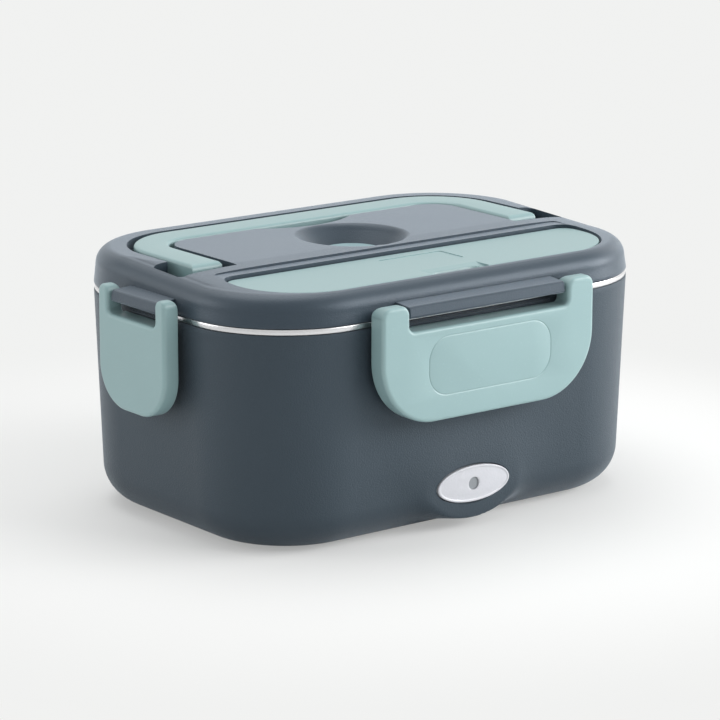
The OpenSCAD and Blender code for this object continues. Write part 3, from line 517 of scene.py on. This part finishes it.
tub = plan_loft("tub_inside", np.concatenate([
    [[50.3, 99.9], [50.3, 102.2], [50.2, 102.3]], [[43.4, 102.3], [43.0, 102.1]],
    tub_rows(42.8, 33.0, 13.2, 101.6), [[8, 33.0]]]), "base", close=(False, True), angle=50)
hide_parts("inner_tub")

# ---- steel container ----
bead = [(50.6, 102.25), (50.95, 102.3), (51.2, 102.5), (51.32, 102.9), (51.38, 103.7), (51.32, 104.5),
        (51.2, 104.9), (50.95, 105.05), (50.6, 105.1), (50.0, 105.1)]
container = plan_loft("steel_container_skin", np.concatenate([
    tub_rows(42.1, 35.3, 13, 102.9)[::-1], [[42.2, 103.4], [42.6, 103.65]], [[48.8, 103.65], [49.2, 102.7]],
    bead, [[42.3, 105.1], [41.7, 104.8], [41.4, 104.1]], tub_rows(41.3, 36.1, 12.2, 103.4), [[6, 36.1]]]),
    "container", close=(True, True), angle=50)
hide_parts("steel_container")


# ---- lid ----
def front_drop(x, y, r):
    """The level top runs on in a slope to the lower front edge, swept from ring to ring."""
    nx = np.clip((np.abs(x) - CX) / r, 0, 1)
    return LID_DROP * np.clip((CY - r * np.sqrt(1 - nx * nx) - y) / (2 * CY), 0, 1)


def lid_z(x, y):
    """Height of the lid's skin: level, less the front slope, less the rounded edge."""
    r = plan_radius(x, y)
    over = np.clip(r - FLAT_R, 0, LID_EDGE)
    return LID_TOP - front_drop(x, y, np.maximum(r, FLAT_R)) - LID_EDGE + np.sqrt(LID_EDGE ** 2 - over ** 2)


TOP_R = 45.5
edge_z = LID_TOP - LID_EDGE
turn_off = np.degrees(np.arccos((TOP_R - FLAT_R) / LID_EDGE))
skirt = plan_loft("lid_skirt", np.concatenate([
    [[49.2, 108], [49.2, 105.6], [49.5, 105.3], [51.1, 105.3], [51.45, 105.4], [51.58, 105.7]],
    np.stack([np.linspace(51.4, CORNER - LID_LEAN, 5), np.linspace(107.5, edge_z, 5)], -1)[:-1],
    arc_points(FLAT_R, edge_z, LID_EDGE, 0, turn_off, 16)]), "lid", angle=50,
    sink=lambda x, y, r, z: front_drop(x, y, r) * np.clip((z - LID_Z0) / (edge_z - LID_Z0), 0, 1))

platform = lambda x, y: panel(x, y, 82.0, -33.4, 46.0, 2, 14)
scoop = lambda x, y: np.maximum(disc(x, y, 0, 82.5, 46.0), np.abs(x) - 33)
ring_cut = lambda x, y: panel(x, y, 104.1, -13.4, 68.6, 3, 36.5)
groove = lambda x, y: np.maximum(ring_cut(x, y), np.minimum(-platform(x, y), scoop(x, y)))
arm_slots = lambda x, y: panel(np.abs(x) - 97.55, y, 15.55, -13.4, 10.0, 3, 3)
bowl = lambda x, y: disc(x, y, 0, BOWL_Y, BOWL_R)
bowl_floor = lambda x, y: disc(x, y, 0, BOWL_Y, BOWL_FLOOR_R)
bowl_turn = lambda x, y: disc(x, y, 0, BOWL_Y, BOWL_LIP_R)
seat = lambda x, y: panel(x, y, 102.8, -74.4, -26.6, 34.8, 8.8)
pocket = lambda x, y: panel(x, y, 99.5, -71.1, -26.6, 31.5, 8)
hinge_room = lambda x, y: np.maximum(seat(x, y), -37.5 - y)
back_step = lambda x, y: panel(x, y, 101, -36.6, -20.5, 3, 3)
lid_cuts = [groove, arm_slots, bowl, bowl_floor, bowl_turn, seat, pocket, hinge_room, back_step]


CONE_RISE, LIP_RISE, HINGE_ROOM_Z, STEP_DROP = 7.6, 2.5, 111.7, 1.5


def lid_level(x, y, inside):
    """Skin, or the lowest floor of the cuts that hold this zone; the bowl's floor rises in
    a cone and ends in a rounded lip."""
    z = lid_z(x, y)
    r = np.hypot(x, y - BOWL_Y)
    lip = np.clip((r - BOWL_LIP_R) / (BOWL_R - BOWL_LIP_R), 0, 1)
    rise = np.clip((r - BOWL_FLOOR_R) / (BOWL_LIP_R - BOWL_FLOOR_R), 0, 1)
    cone = BOWL_Z + CONE_RISE * rise + LIP_RISE * lip * (2 - lip)
    floors = [GROOVE_Z, SLOT_Z, cone, z, z, COVER_Z - 0.2, POCKET_Z, HINGE_ROOM_Z, LID_TOP - STEP_DROP]
    for flag, floor in zip(inside, floors):
        if flag:
            z = np.minimum(z, floor)
    return z


lid_outer = lambda x, y: plan_radius(x, y) - TOP_R


def tuck(x, y, z):
    """The sheet's edge runs on outwards and down into the skirt."""
    out, down = 0.3, 0.25
    return [(x + out * np.sign(x) * (np.abs(x) > CX), y + out * np.sign(y) * (np.abs(y) > CY), z - down)]


LID_WINDOW, LID_STEP = (-114.6, 114.6, -77.8, 77.8), 0.7
p, f = sheet_mesh(LID_WINDOW, LID_STEP, lid_outer, lid_cuts, lid_level, tuck)
lid_top = piece("lid_top", p, f, "lid", up=(0, 0, 1))
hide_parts("lid_shell")

HINGE_BAR = [(-1, 105.9), (9.3, 105.9), (10.0, 106.6), (9.4, 110.5), (8.7, 111.2), (-1, 111.9)]
bars = side_bars("hinge_bar_", HINGE_BAR, 45.2, 17.9, "lid")
for bar in bars:
    soften(bar, 0.5)

# ---- handle: rounded section carried round a U path ----
HANDLE_LOW, HANDLE_TOP, ARM_END = 112.6, 122.6, -6.0


def handle_mesh():
    """Stations of a U path, each with the rounded section; near the arm ends the section's
    top follows a radius down to the end face. A pivot sticks out of each arm."""
    w, top_r, foot_r, end_r = 8.25, 1.8, 1.0, 3.0
    outer_r, turn_x, turn_y = 34, 67.4, 31.2
    mid_r = outer_r - w
    pivot_from, pivot_to, pivot_r = 100.9, 112.7, 3.2
    s = np.array([0, 0.08, 0.3, 0.7, 1.2, 1.8, 2.4, 3.0, 8, 16, 24, 32])
    arm = np.column_stack([np.full(len(s), turn_x + mid_r), ARM_END + s])
    a = np.linspace(0, np.pi / 2, 25)
    bend = np.column_stack([turn_x + mid_r * np.cos(a), turn_y + mid_r * np.sin(a)])
    back = np.column_stack([np.linspace(turn_x, -turn_x, 12)[1:-1], np.full(10, turn_y + mid_r)])
    half = np.concatenate([arm, bend])
    path = np.concatenate([half, back, half[::-1] * [-1, 1]])
    out_half = np.concatenate([np.tile([1.0, 0.0], (len(arm), 1)), np.column_stack([np.cos(a), np.sin(a)])])
    out = np.concatenate([out_half, np.tile([0.0, 1.0], (10, 1)), out_half[::-1] * [-1, 1]])
    sec = np.concatenate([arc_points(w - top_r, HANDLE_TOP - top_r, top_r, 0, 90, 7),
                          arc_points(-w + top_r, HANDLE_TOP - top_r, top_r, 90, 180, 7),
                          arc_points(-w + foot_r, HANDLE_LOW + foot_r, foot_r, 180, 270, 5),
                          arc_points(w - foot_r, HANDLE_LOW + foot_r, foot_r, 270, 360, 5)])
    xy = path[:, None] + out[:, None] * sec[None, :, :1]
    near = np.minimum(path[:, 1] - ARM_END, end_r)
    cap = HANDLE_TOP - end_r + np.sqrt(end_r ** 2 - (end_r - near) ** 2)
    z = np.minimum(sec[None, :, 1], cap[:, None])
    pts = np.concatenate([xy, z[..., None]], -1).reshape(-1, 3)
    m, n = xy.shape[:2]
    faces = grid_faces(m, n).tolist() + [list(range(n))[::-1], list(range((m - 1) * n, m * n))]
    for sx in (-1, 1):
        q, g = rod(*sorted((sx * pivot_from, sx * pivot_to)), PIVOT_Y, PIVOT_Z, pivot_r)
        faces += [[i + len(pts) for i in one] for one in g]
        pts = np.concatenate([pts, q])
    return pts, faces


p, f = handle_mesh()
handle = piece("carry_handle", p, f, "handle", angle=45)
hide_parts("handle")

# ---- cutlery cover ----
cover_line = lambda x, y, s=0: panel(x, y, 102 - s, -73.6 + s, -27.6 - s, 34 - s, 8 - s)
notch = lambda x, y: panel(x, y, 14.5, -81.6, -68.2, 2, 5)
cover_outer = lambda x, y: both(cover_line(x, y), -notch(x, y), 2.0)
COVER_EDGE, THUMB_Y, THUMB_SLOPE = 1.1, -63.6, 9.5
cover_soft = lambda x, y: cover_outer(x, y) + COVER_EDGE
cover_turn = lambda x, y: cover_outer(x, y) + 0.5
panel_mark = lambda x, y: panel(x, y, 18.5, -52.9, -34.9, 1.5, 1.5)
thumb = lambda x, y: np.maximum(np.abs(x) - 16.5, y - THUMB_Y)
lip_out = lambda x, y: cover_line(x, y, 4)
lip_in = lambda x, y: cover_line(x, y, 5.4)
cover_cuts = [cover_soft, panel_mark, thumb, lip_out, lip_in, cover_turn]


def cover_front(x, y, inside):
    """Flat top with a rounded edge, a shallow panel and a thumb slope at the front."""
    d = np.clip(COVER_EDGE + cover_outer(x, y), 0, COVER_EDGE)
    z = COVER_TOP - COVER_EDGE + np.sqrt(np.maximum(COVER_EDGE ** 2 - d * d, 0))
    if inside[2]:
        z = z - np.tan(np.radians(THUMB_SLOPE)) * (THUMB_Y - y)
    return z - (0.3 if inside[1] else 0)


def cover_back(x, y, inside):
    """Flat underside with a lip that runs round near its edge."""
    return np.full(x.shape, COVER_Z - (1.5 if inside[3] and not inside[4] else 0))


BARREL_FROM, BARREL_TO, BARREL_R = 88, 99.6, 2.1
barrels = [rod(*ends, HINGE_Y, HINGE_Z, BARREL_R)
           for ends in ((BARREL_FROM, BARREL_TO), (-BARREL_TO, -BARREL_FROM))]
COVER_WINDOW, COVER_STEP = (-102.9, 102.9, -74.5, -26.7), 0.52
cover = slab("cutlery_cover_skin", "cutlery_cover", COVER_WINDOW, COVER_STEP, cover_outer,
             cover_cuts, cover_front, cover_back, barrels)
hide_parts("cutlery_cover")


# ---- steam plug: a turned profile ----
def turned(name, rows, cx, cy, body, n=96, angle=40):
    """Profile (r, z) turned about an upright axis; both ends closed."""
    a = np.linspace(0, 2 * np.pi, n, endpoint=False)
    rows = np.asarray(rows, float)
    pts = np.stack([cx + rows[:, :1] * np.cos(a), cy + rows[:, :1] * np.sin(a),
                    np.broadcast_to(rows[:, 1:], (len(rows), n))], -1).reshape(-1, 3)
    m = len(rows)
    faces = grid_faces(m, n).tolist() + [list(range(n))[::-1], list(range((m - 1) * n, m * n))]
    return piece(name, pts, faces, body, angle)


barb = [[3.2, 101.3], [6.4, 101.2], [6.6, 101.5], [6.5, 102.3], [5, 102.4]]
stem = [[5, 112.2], [13.9, 112.3], [14.4, 112.5]]
dimple = [[6.4, 115.0], [6.1, 114.9], [5.9, 114.7], [0.8, 114.7]]
plug = turned("steam_plug_cap", np.concatenate([barb, stem, arc_points(13.8, 114.3, 0.7, 0, 90, 6), dimple]),
              0, BOWL_Y, "steam_plug")
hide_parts("steam_plug")


# ---- latches ----
def bend(cx, cz, r, a0, a1, n, side=1):
    """Points of an arc and the outward direction at each; side -1 for an inner corner."""
    a = np.radians(np.linspace(a0, a1, n))
    d = np.stack([np.cos(a), np.sin(a)], -1)
    return np.array([cx, cz]) + r * d, side * d


def joined(*runs):
    """Runs of (points, directions) put end to end."""
    return tuple(np.concatenate([np.asarray(r[k], float) for r in runs]) for k in (0, 1))


def latch_line(half, slot, low, top, corner, tip, floor):
    """Right half of a latch's outline: from the middle of its lower edge, round the corner,
    up and over the ear, down to the middle of the slot's floor."""
    rise = np.array([PIN_Z, (PIN_Z + top - tip) / 2])
    inner = 3
    return joined(([[0, low]], [[0, -1]]), bend(half - corner, low + corner, corner, -90, 0, 22),
                  (np.column_stack([[half, half], rise]), [[1, 0], [1, 0]]),
                  bend(half - tip, top - tip, tip, 0, 90, 10),
                  bend(slot + tip, top - tip, tip, 90, 180, 10),
                  (np.column_stack([[slot, slot], rise[::-1]]), [[-1, 0], [-1, 0]]),
                  bend(slot - inner, floor + inner, inner, 0, -90, 8, -1), ([[0, floor]], [[0, 1]]))


# places in latch_line: first point of the side, middle of the ear's top, last of the slot's side
SIDE, EAR, SLOT = 23, 35, 46


def half_panel(half, low, top, low_r, top_r):
    """Right half of a rounded rectangle, from the middle of its top to that of its foot."""
    return joined(([[0, top]], [[0, 1]]), bend(half - top_r, top - top_r, top_r, 90, 0, 12),
                  bend(half - low_r, low + low_r, low_r, 0, -90, 22), ([[0, low]], [[0, -1]]))


def offset_rows(line, way, rows):
    """Rows of (inset, depth): the outline moved inwards by the inset, at that depth."""
    return np.stack([np.column_stack([line - way * d, np.broadcast_to(u, len(line))]) for d, u in rows])


def latch(side, half, ear, corner, mark, gap, top):
    """Shell whose edges are rows of the outline moved inwards; the right half is drawn and
    mirrored. Its sides end in a round over the pin. mark is the half width, foot, top and
    corner of the line on its face; gap is the clear space between the sides and the wall."""
    slot, low, floor, face, soft, wall, pin_out = half - ear, 57.3, 100.2, 11.5, 1.8, 2.4, 6.5
    line, way = latch_line(half, slot, low, top, corner, min(4.5, ear / 2 - 0.15), floor)
    patches = []

    def strip(rows):
        patches.append((rows.reshape(-1, 3), grid_faces(len(rows), rows.shape[1], False).tolist()))

    def flat(*lines):
        p = np.concatenate(lines)
        patches.append((p, [list(range(len(p)))]))

    a = np.radians(np.linspace(0, 90, 8))
    edge = list(zip(soft * (1 - np.sin(a)), face - soft * (1 - np.cos(a))))
    outer = offset_rows(line, way, [(soft + 0.4, face)] + edge + [(0, face - soft - 0.5)])
    lip = []
    for inset, step in ((0, 0.9), (0.02, 0.3), (0.12, 0.08), (0.35, 0), (0.8, 0)):
        up = np.clip(((line - way * inset)[:, 1] - PIN_Z) / (top - PIN_Z), 0, 1)
        lip.append((inset, gap + (pin_out - gap) * (1 - np.sqrt(1 - up * up)) + step))
    outer = np.concatenate([outer, offset_rows(line, way, lip)])
    strip(outer)
    rim = outer[-1]
    strip(np.stack([rim[SIDE:EAR], rim[SLOT:EAR - 1:-1]]))
    ring, out = half_panel(half - wall, low + wall, 97.8, corner - wall, 2)
    well = offset_rows(ring, out, [(0, gap), (0.05, gap + 0.4), (0.05, 8.4), (0.3, 8.9), (0.75, 9.1),
                                   (1.2, 9.1)])
    strip(well)
    flat(well[-1])
    flat(rim[:SIDE + 1], rim[SLOT:], well[0])
    if mark:
        ring, out = half_panel(*mark, mark[-1])
        dip = [(-0.55, 0), (-0.4, 0.04), (-0.2, 0.2), (0, 0.26), (0.2, 0.2), (0.4, 0.04), (0.55, 0)]
        groove_rows = offset_rows(ring, out, [(inset, face - down) for inset, down in dip])
        strip(groove_rows)
        flat(groove_rows[-1])
        flat(outer[0], groove_rows[0])
    else:
        flat(outer[0])
    hook_low, hook_top, hook_out, hook_end = 97.9, 100.1, 1.5, slot - 0.3
    hook = prism([(hook_low, gap + 0.6), (hook_low, hook_out), (hook_top, hook_out), (hook_top, gap + 0.6)],
                 -hook_end, hook_end)
    points, faces = [], []
    for p, f in patches + [(p * [-1, 1, 1], f) for p, f in patches] + [hook]:
        start = sum(len(q) for q in points)
        faces += [[i + start for i in one] for one in f]
        points.append(p)
    skin = piece("latch_" + side + "_skin", on_side(side)(np.concatenate(points)), faces, "latch_" + side)
    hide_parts("latch_" + side)
    return skin


LONG = dict(half=61.5, ear=15.3, corner=30, mark=(35.5, 69, 96, 11), gap=2.7, top=112.6)
SHORT = dict(half=26.3, ear=7.4, corner=20, mark=None, gap=3.6, top=113.3)
latches = [latch("front", **LONG), latch("back", **LONG), latch("left", **SHORT), latch("right", **SHORT)]


# ---- lamp window: rings from its oval rim to the round hole over the lamp ----
def lens_mesh():
    """Rows of (share of the way to the hole, inset from the rim, depth); the first and last
    row close the back. Depth runs in from the face."""
    t = np.linspace(0, 2 * np.pi, 128, endpoint=False)
    unit = np.stack([np.cos(t), np.sin(t)], -1)
    rows = [(0, 0, LENS_DEPTH), (0, 0, 0.9)]
    rim_r, well_in, hole_r = 0.45, 3.1, 3.0
    round_off = np.radians([0, 18, 36, 54, 72, 90])
    rows += [(0, rim_r - rim_r * np.cos(a), rim_r - rim_r * np.sin(a)) for a in round_off]
    rows += [(0, 0.85, 0), (0, 1.0, 0.04), (0, 1.15, 0.16), (0, 1.35, 0.22), (0, 1.7, 0.24), (0, 2.3, 0.22)]
    rows += [(s, well_in, 0.21 - 0.12 * (1 - (1 - s) ** 2)) for s in np.linspace(0.02, 0.9, 10)]
    rows += [(0.97, well_in, 0.13), (1, well_in, 0.3), (1, well_in, LENS_DEPTH)]
    rings = []
    for share, inset, depth in rows:
        oval = unit * [LENS_HALF - inset, LENS_RISE - inset]
        q = oval * (1 - share) + unit * hole_r * share
        rings.append(np.stack([q[:, 0], np.full(len(q), LENS_FACE + depth), LAMP_Z + q[:, 1]], -1))
    m, n = len(rings), len(t)
    faces = grid_faces(m, n).tolist()
    i = np.arange(n)
    faces += np.stack([i, (i + 1) % n, (m - 1) * n + (i + 1) % n, (m - 1) * n + i], -1).tolist()
    return np.concatenate(rings), faces


p, f = lens_mesh()
lens = piece("lamp_window", p, f, "base", angle=40)
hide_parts("lamp_lens")


# ---- shader maths: sockets with operators ----
class Flow:
    """Wraps a socket of a node tree; expressions on values add Math nodes."""

    def __init__(self, tree, socket):
        self.tree, self.socket = tree, socket

    def maths(self, kind, *others):
        return Shader.make(self.tree, "ShaderNodeMath", {"operation": kind},
                           [self] + list(others)).first()

    def __add__(self, other):
        return self.maths("ADD", other)

    def __sub__(self, other):
        return self.maths("SUBTRACT", other)

    def __rsub__(self, other):
        return (self * -1.0).maths("ADD", other)

    def __mul__(self, other):
        return self.maths("MULTIPLY", other)

    __radd__, __rmul__ = __add__, __mul__

    def held(self, low=0.0, high=1.0):
        return self.maths("MAXIMUM", low).maths("MINIMUM", high)


class Made:
    """A node just made; [name] or first() gives an output."""

    def __init__(self, tree, node):
        self.tree, self.node = tree, node

    def __getitem__(self, name):
        return Flow(self.tree, self.node.outputs[name])

    def first(self):
        return Flow(self.tree, self.node.outputs[0])


class Shader:
    """One material: a Principled surface with its constants on the sockets."""

    def __init__(self, name, **constants):
        self.material = bpy.data.materials.new(name)
        self.material.use_nodes = True
        self.tree = self.material.node_tree
        self.surface = next(n for n in self.tree.nodes if n.type == "BSDF_PRINCIPLED")
        for key, value in constants.items():
            self.surface.inputs[key.replace("_", " ")].default_value = value
        self.place = self.node("ShaderNodeTexCoord")["Object"]

    @staticmethod
    def make(tree, kind, settings, values):
        """A node of a kind: settings first, then a value or a link for each socket."""
        node = tree.nodes.new(kind)
        for key, value in settings.items():
            setattr(node, key, value)
        pairs = values.items() if isinstance(values, dict) else enumerate(values)
        for key, value in pairs:
            if isinstance(value, Flow):
                tree.links.new(value.socket, node.inputs[key])
            elif value is not None:
                node.inputs[key].default_value = value
        return Made(tree, node)

    def node(self, kind, settings=None, values=None):
        return Shader.make(self.tree, kind, settings or {}, values or {})

    def noise(self, scale, detail=2.0, rough=0.5, stretch=None):
        at = self.place
        if stretch:
            at = self.node("ShaderNodeMapping", {}, {"Vector": at, "Scale": stretch})["Vector"]
        return self.node("ShaderNodeTexNoise", {}, {"Vector": at, "Scale": scale, "Detail": detail,
                                                    "Roughness": rough}).first()

    def mix(self, factor, a, b):
        n = self.node("ShaderNodeMix", {"data_type": "RGBA"}, {0: factor})
        for index, value in ((6, a), (7, b)):
            if isinstance(value, Flow):
                self.tree.links.new(value.socket, n.node.inputs[index])
            else:
                n.node.inputs[index].default_value = (*value, 1)
        return Flow(self.tree, n.node.outputs[2])

    def feed(self, **inputs):
        for key, value in inputs.items():
            self.tree.links.new(value.socket, self.surface.inputs[key.replace("_", " ")])

    def bump(self, height, distance):
        return self.node("ShaderNodeBump", {}, {"Strength": 1.0, "Distance": distance,
                                                "Height": height})["Normal"]


def plastic(name, colour, rough, grain, grain_scale=1400.0, wander=0.06, coat=0.0, spread=0.08,
            sheen=0.0, tint=(1, 1, 1)):
    """Moulded plastic: a fine spark-eroded grain, slow drift of colour and gloss."""
    m = Shader(name, Coat_Weight=coat, Coat_Roughness=0.4, Sheen_Weight=sheen, Sheen_Roughness=0.4,
               Sheen_Tint=(*tint, 1), Specular_Tint=(*tint, 1))
    fine = m.noise(grain_scale, 3.0, 0.6)
    slow = m.noise(22.0, 3.0, 0.55)
    speck = m.noise(grain_scale * 0.45, 2.0, 0.5)
    light = tuple(min(1, c * (1 + wander)) for c in colour)
    dark = tuple(c * (1 - wander) for c in colour)
    shade = m.mix((slow * 1.6 - 0.3).held(), dark, light)
    dust = m.mix(((speck - 0.62) * 6.0).held() * 0.10, shade, tuple(min(1, c * 1.5 + 0.02) for c in colour))
    m.feed(Base_Color=dust, Roughness=(rough + (slow - 0.5) * spread + (fine - 0.5) * 0.12).held(0.05, 1.0),
           Normal=m.bump(fine, grain))
    return m.material


def metal(name, colour, rough, stretch, drift=0.05):
    """Drawn or rolled metal: fine lines along one way, soft stains in the gloss."""
    m = Shader(name, Metallic=1.0)
    lines = m.noise(900.0, 2.0, 0.6, stretch)
    slow = m.noise(30.0, 3.0, 0.6)
    tint = m.mix((slow * 1.5 - 0.25).held(), tuple(c * (1 - drift) for c in colour), colour)
    m.feed(Base_Color=tint, Roughness=(rough + (lines - 0.5) * 0.16 + (slow - 0.5) * 0.1).held(0.04, 1.0),
           Normal=m.bump(lines, 0.00002))
    return m.material


SLATE = (0.026, 0.040, 0.053)
SLATE_LID = (0.024, 0.038, 0.052)
MINT = (0.262, 0.398, 0.408)
looks = {
    "body_plastic": plastic("slate_grain", SLATE, 0.52, 0.0002, 1450.0, 0.05, sheen=0.24,
                            tint=(0.8, 0.9, 1.0)),
    "lid_plastic": plastic("slate_satin", SLATE_LID, 0.42, 0.00012, 1300.0, 0.04, coat=0.14, sheen=0.45,
                           tint=(0.74, 0.86, 1.0)),
    "inner_plastic": plastic("dark_inner", (0.09, 0.10, 0.11), 0.6, 0.00006),
    "liner_plastic": plastic("liner_grey", (0.30, 0.33, 0.35), 0.42, 0.00003),
    "mint_plastic": plastic("mint_satin", MINT, 0.36, 0.00003, 1800.0, 0.03, coat=0.15),
    "mint_silicone": plastic("mint_soft", (0.24, 0.37, 0.40), 0.55, 0.00003, 1500.0, 0.03),
    "container_steel": metal("drawn_steel", (0.66, 0.66, 0.67), 0.24, (1, 1, 14)),
    "plated_steel": metal("plated_steel", (0.70, 0.70, 0.72), 0.2, (10, 1, 1)),
    "cast_aluminium": metal("cast_aluminium", (0.60, 0.61, 0.62), 0.42, (1, 1, 1)),
    "heater_ceramic": plastic("ceramic", (0.78, 0.74, 0.66), 0.5, 0.00003),
    "dark_plastic": plastic("near_black", (0.045, 0.05, 0.055), 0.5, 0.00005),
    "foot_rubber": plastic("foot_rubber", (0.035, 0.035, 0.038), 0.8, 0.00008, 900.0, 0.1),
    "seal_rubber": plastic("seal_white", (0.78, 0.79, 0.78), 0.5, 0.00002),
    "lamp_body": plastic("smoky_lamp", (0.24, 0.26, 0.28), 0.25, 0.00001, coat=0.5),
    "board_green": plastic("board", (0.05, 0.19, 0.10), 0.4, 0.00002),
    "fuse_brass": metal("dull_brass", (0.62, 0.50, 0.28), 0.35, (6, 1, 1)),
    "pin_brass": metal("bright_brass", (0.74, 0.62, 0.34), 0.2, (1, 8, 1)),
    "lead_red": plastic("lead_red", (0.42, 0.07, 0.05), 0.45, 0.00002),
    "lead_dark": plastic("lead_dark", (0.05, 0.05, 0.06), 0.45, 0.00002),
    "lens_clear": plastic("lens_pale", (0.575, 0.585, 0.625), 0.2, 0.0001, 520.0, 0.08, coat=0.35,
                          spread=0.06),
}
slots = {p["node"]: p["material_slot"] for p in frame["record"]["subparts"]}
for name, node in nodes.items():
    node.data.materials.clear()
    node.data.materials.append(looks[slots[name]])


def finish(look, *pieces):
    """One look for new pieces, named as its slot."""
    for obj in pieces:
        obj.data.materials.clear()
        obj.data.materials.append(looks[look])


finish("body_plastic", body, *ribs)
finish("inner_plastic", tub)
finish("container_steel", container)
finish("lid_plastic", skirt, lid_top, *bars)
finish("mint_plastic", handle, cover, *latches)
finish("mint_silicone", plug)
finish("lens_clear", lens)

# ---- floor, light and camera ----
FLOOR = (0.87, 0.875, 0.87)
BACKDROP = (0.879, 0.885, 0.877)


def stage_look(name, colour):
    """Pale floor: catches the shadow round the object; to the camera it turns into the
    even backdrop further out."""
    m = Shader(name, Roughness=0.9, Specular_IOR_Level=0.0)
    drift = m.noise(1.5, 2.0, 0.5)
    m.feed(Base_Color=m.mix(drift, tuple(c * 0.995 for c in colour), colour))
    far = m.node("ShaderNodeVectorMath", {"operation": "LENGTH"}, {0: m.place})["Value"]
    seen = m.node("ShaderNodeLightPath")["Is Camera Ray"]
    fade = m.node("ShaderNodeMapRange", {"interpolation_type": "SMOOTHSTEP"},
                  {"Value": far, "From Min": 0.15, "From Max": 0.34, "To Min": 0.38})["Result"]
    even = m.node("ShaderNodeEmission", {}, {"Color": (*BACKDROP, 1), "Strength": 1.0})
    join = m.node("ShaderNodeMixShader", {}, {0: fade * seen})
    end = next(n for n in m.tree.nodes if n.type == "OUTPUT_MATERIAL")
    m.tree.links.new(m.surface.outputs[0], join.node.inputs[1])
    m.tree.links.new(even.node.outputs[0], join.node.inputs[2])
    m.tree.links.new(join.node.outputs[0], end.inputs[0])
    return m.material


floor_mesh = bpy.data.meshes.new("floor")
floor_mesh.from_pydata([(-6, -6, 0), (6, -6, 0), (6, 6, 0), (-6, 6, 0)], [], [(0, 1, 2, 3)])
floor = bpy.data.objects.new("floor", floor_mesh)
bpy.context.scene.collection.objects.link(floor)
floor_mesh.materials.append(stage_look("floor_pale", FLOOR))

world = bpy.data.worlds.new("studio")
bpy.context.scene.world = world
world.use_nodes = True
tree = world.node_tree
tree.nodes.clear()
seen = Shader.make(tree, "ShaderNodeLightPath", {}, {})
plain = Shader.make(tree, "ShaderNodeBackground", {}, {"Color": (1, 1, 1, 1), "Strength": 0.52})
shown = Shader.make(tree, "ShaderNodeBackground", {}, {"Color": (*BACKDROP, 1), "Strength": 1.0})
either = seen["Is Camera Ray"].maths("MAXIMUM", seen["Is Transmission Ray"]).maths(
    "MAXIMUM", seen["Is Glossy Ray"])
join = Shader.make(tree, "ShaderNodeMixShader", {}, {0: either})
tree.links.new(plain.node.outputs[0], join.node.inputs[1])
tree.links.new(shown.node.outputs[0], join.node.inputs[2])
out = tree.nodes.new("ShaderNodeOutputWorld")
tree.links.new(join.node.outputs[0], out.inputs[0])


def panel_light(name, place, aim, size, power):
    """Soft rectangular lamp that faces a point."""
    lamp = bpy.data.lights.new(name, "AREA")
    lamp.shape = "RECTANGLE"
    lamp.size, lamp.size_y = size
    lamp.energy = power
    obj = bpy.data.objects.new(name, lamp)
    bpy.context.scene.collection.objects.link(obj)
    obj.location = place
    obj.rotation_euler = (Vector(aim) - Vector(place)).to_track_quat("-Z", "Y").to_euler()


panel_light("key", (1.2, -1.6, 1.0), (0, 0, 0.06), (1.4, 1.0), 22)
panel_light("top", (0.1, 0.6, 1.9), (0, 0, 0.08), (1.8, 1.4), 17)
panel_light("rim_left", (-1.9, 1.3, 0.8), (0, 0, 0.06), (1.2, 1.2), 12)
panel_light("rim_right", (2.1, 0.5, 0.9), (0, 0, 0.06), (1.2, 1.2), 3)
panel_light("side", (0.75, -0.45, 0.28), (0.09, -0.06, 0.06), (0.35, 0.35), 3.6)

# the camera: degrees; metres; the focal length in pixels of a view that many wide
CAMERA_TURN, CAMERA_RISE, CAMERA_ROLL, CAMERA_DIST = -37.645, 13.751, 0.085, 1.61444
FOCAL_PX, VIEW_PX, SENSOR_MM = 3406.18, 720, 36.0
az, el = np.radians(CAMERA_TURN), np.radians(CAMERA_RISE)
right = Vector((np.cos(az), np.sin(az), 0))
away = Vector((np.sin(az) * np.cos(el), -np.cos(az) * np.cos(el), np.sin(el)))
upward = away.cross(right)
aim = Vector((0, 0, 0.055)) + right * -0.001167 + upward * 0.007527
camera = bpy.data.objects.new("camera", bpy.data.cameras.new("camera"))
bpy.context.scene.collection.objects.link(camera)
camera.data.sensor_width = SENSOR_MM
camera.data.sensor_fit = "HORIZONTAL"
camera.data.lens = FOCAL_PX / VIEW_PX * SENSOR_MM
camera.data.clip_start, camera.data.clip_end = 0.05, 50
roll = Matrix.Rotation(np.radians(CAMERA_ROLL), 4, "Z")
turned_frame = Matrix((right, upward, away)).transposed().to_4x4() @ roll
camera.matrix_world = Matrix.Translation(aim + away * CAMERA_DIST) @ turned_frame
bpy.context.scene.camera = camera
bpy.context.scene.view_settings.view_transform = "Standard"
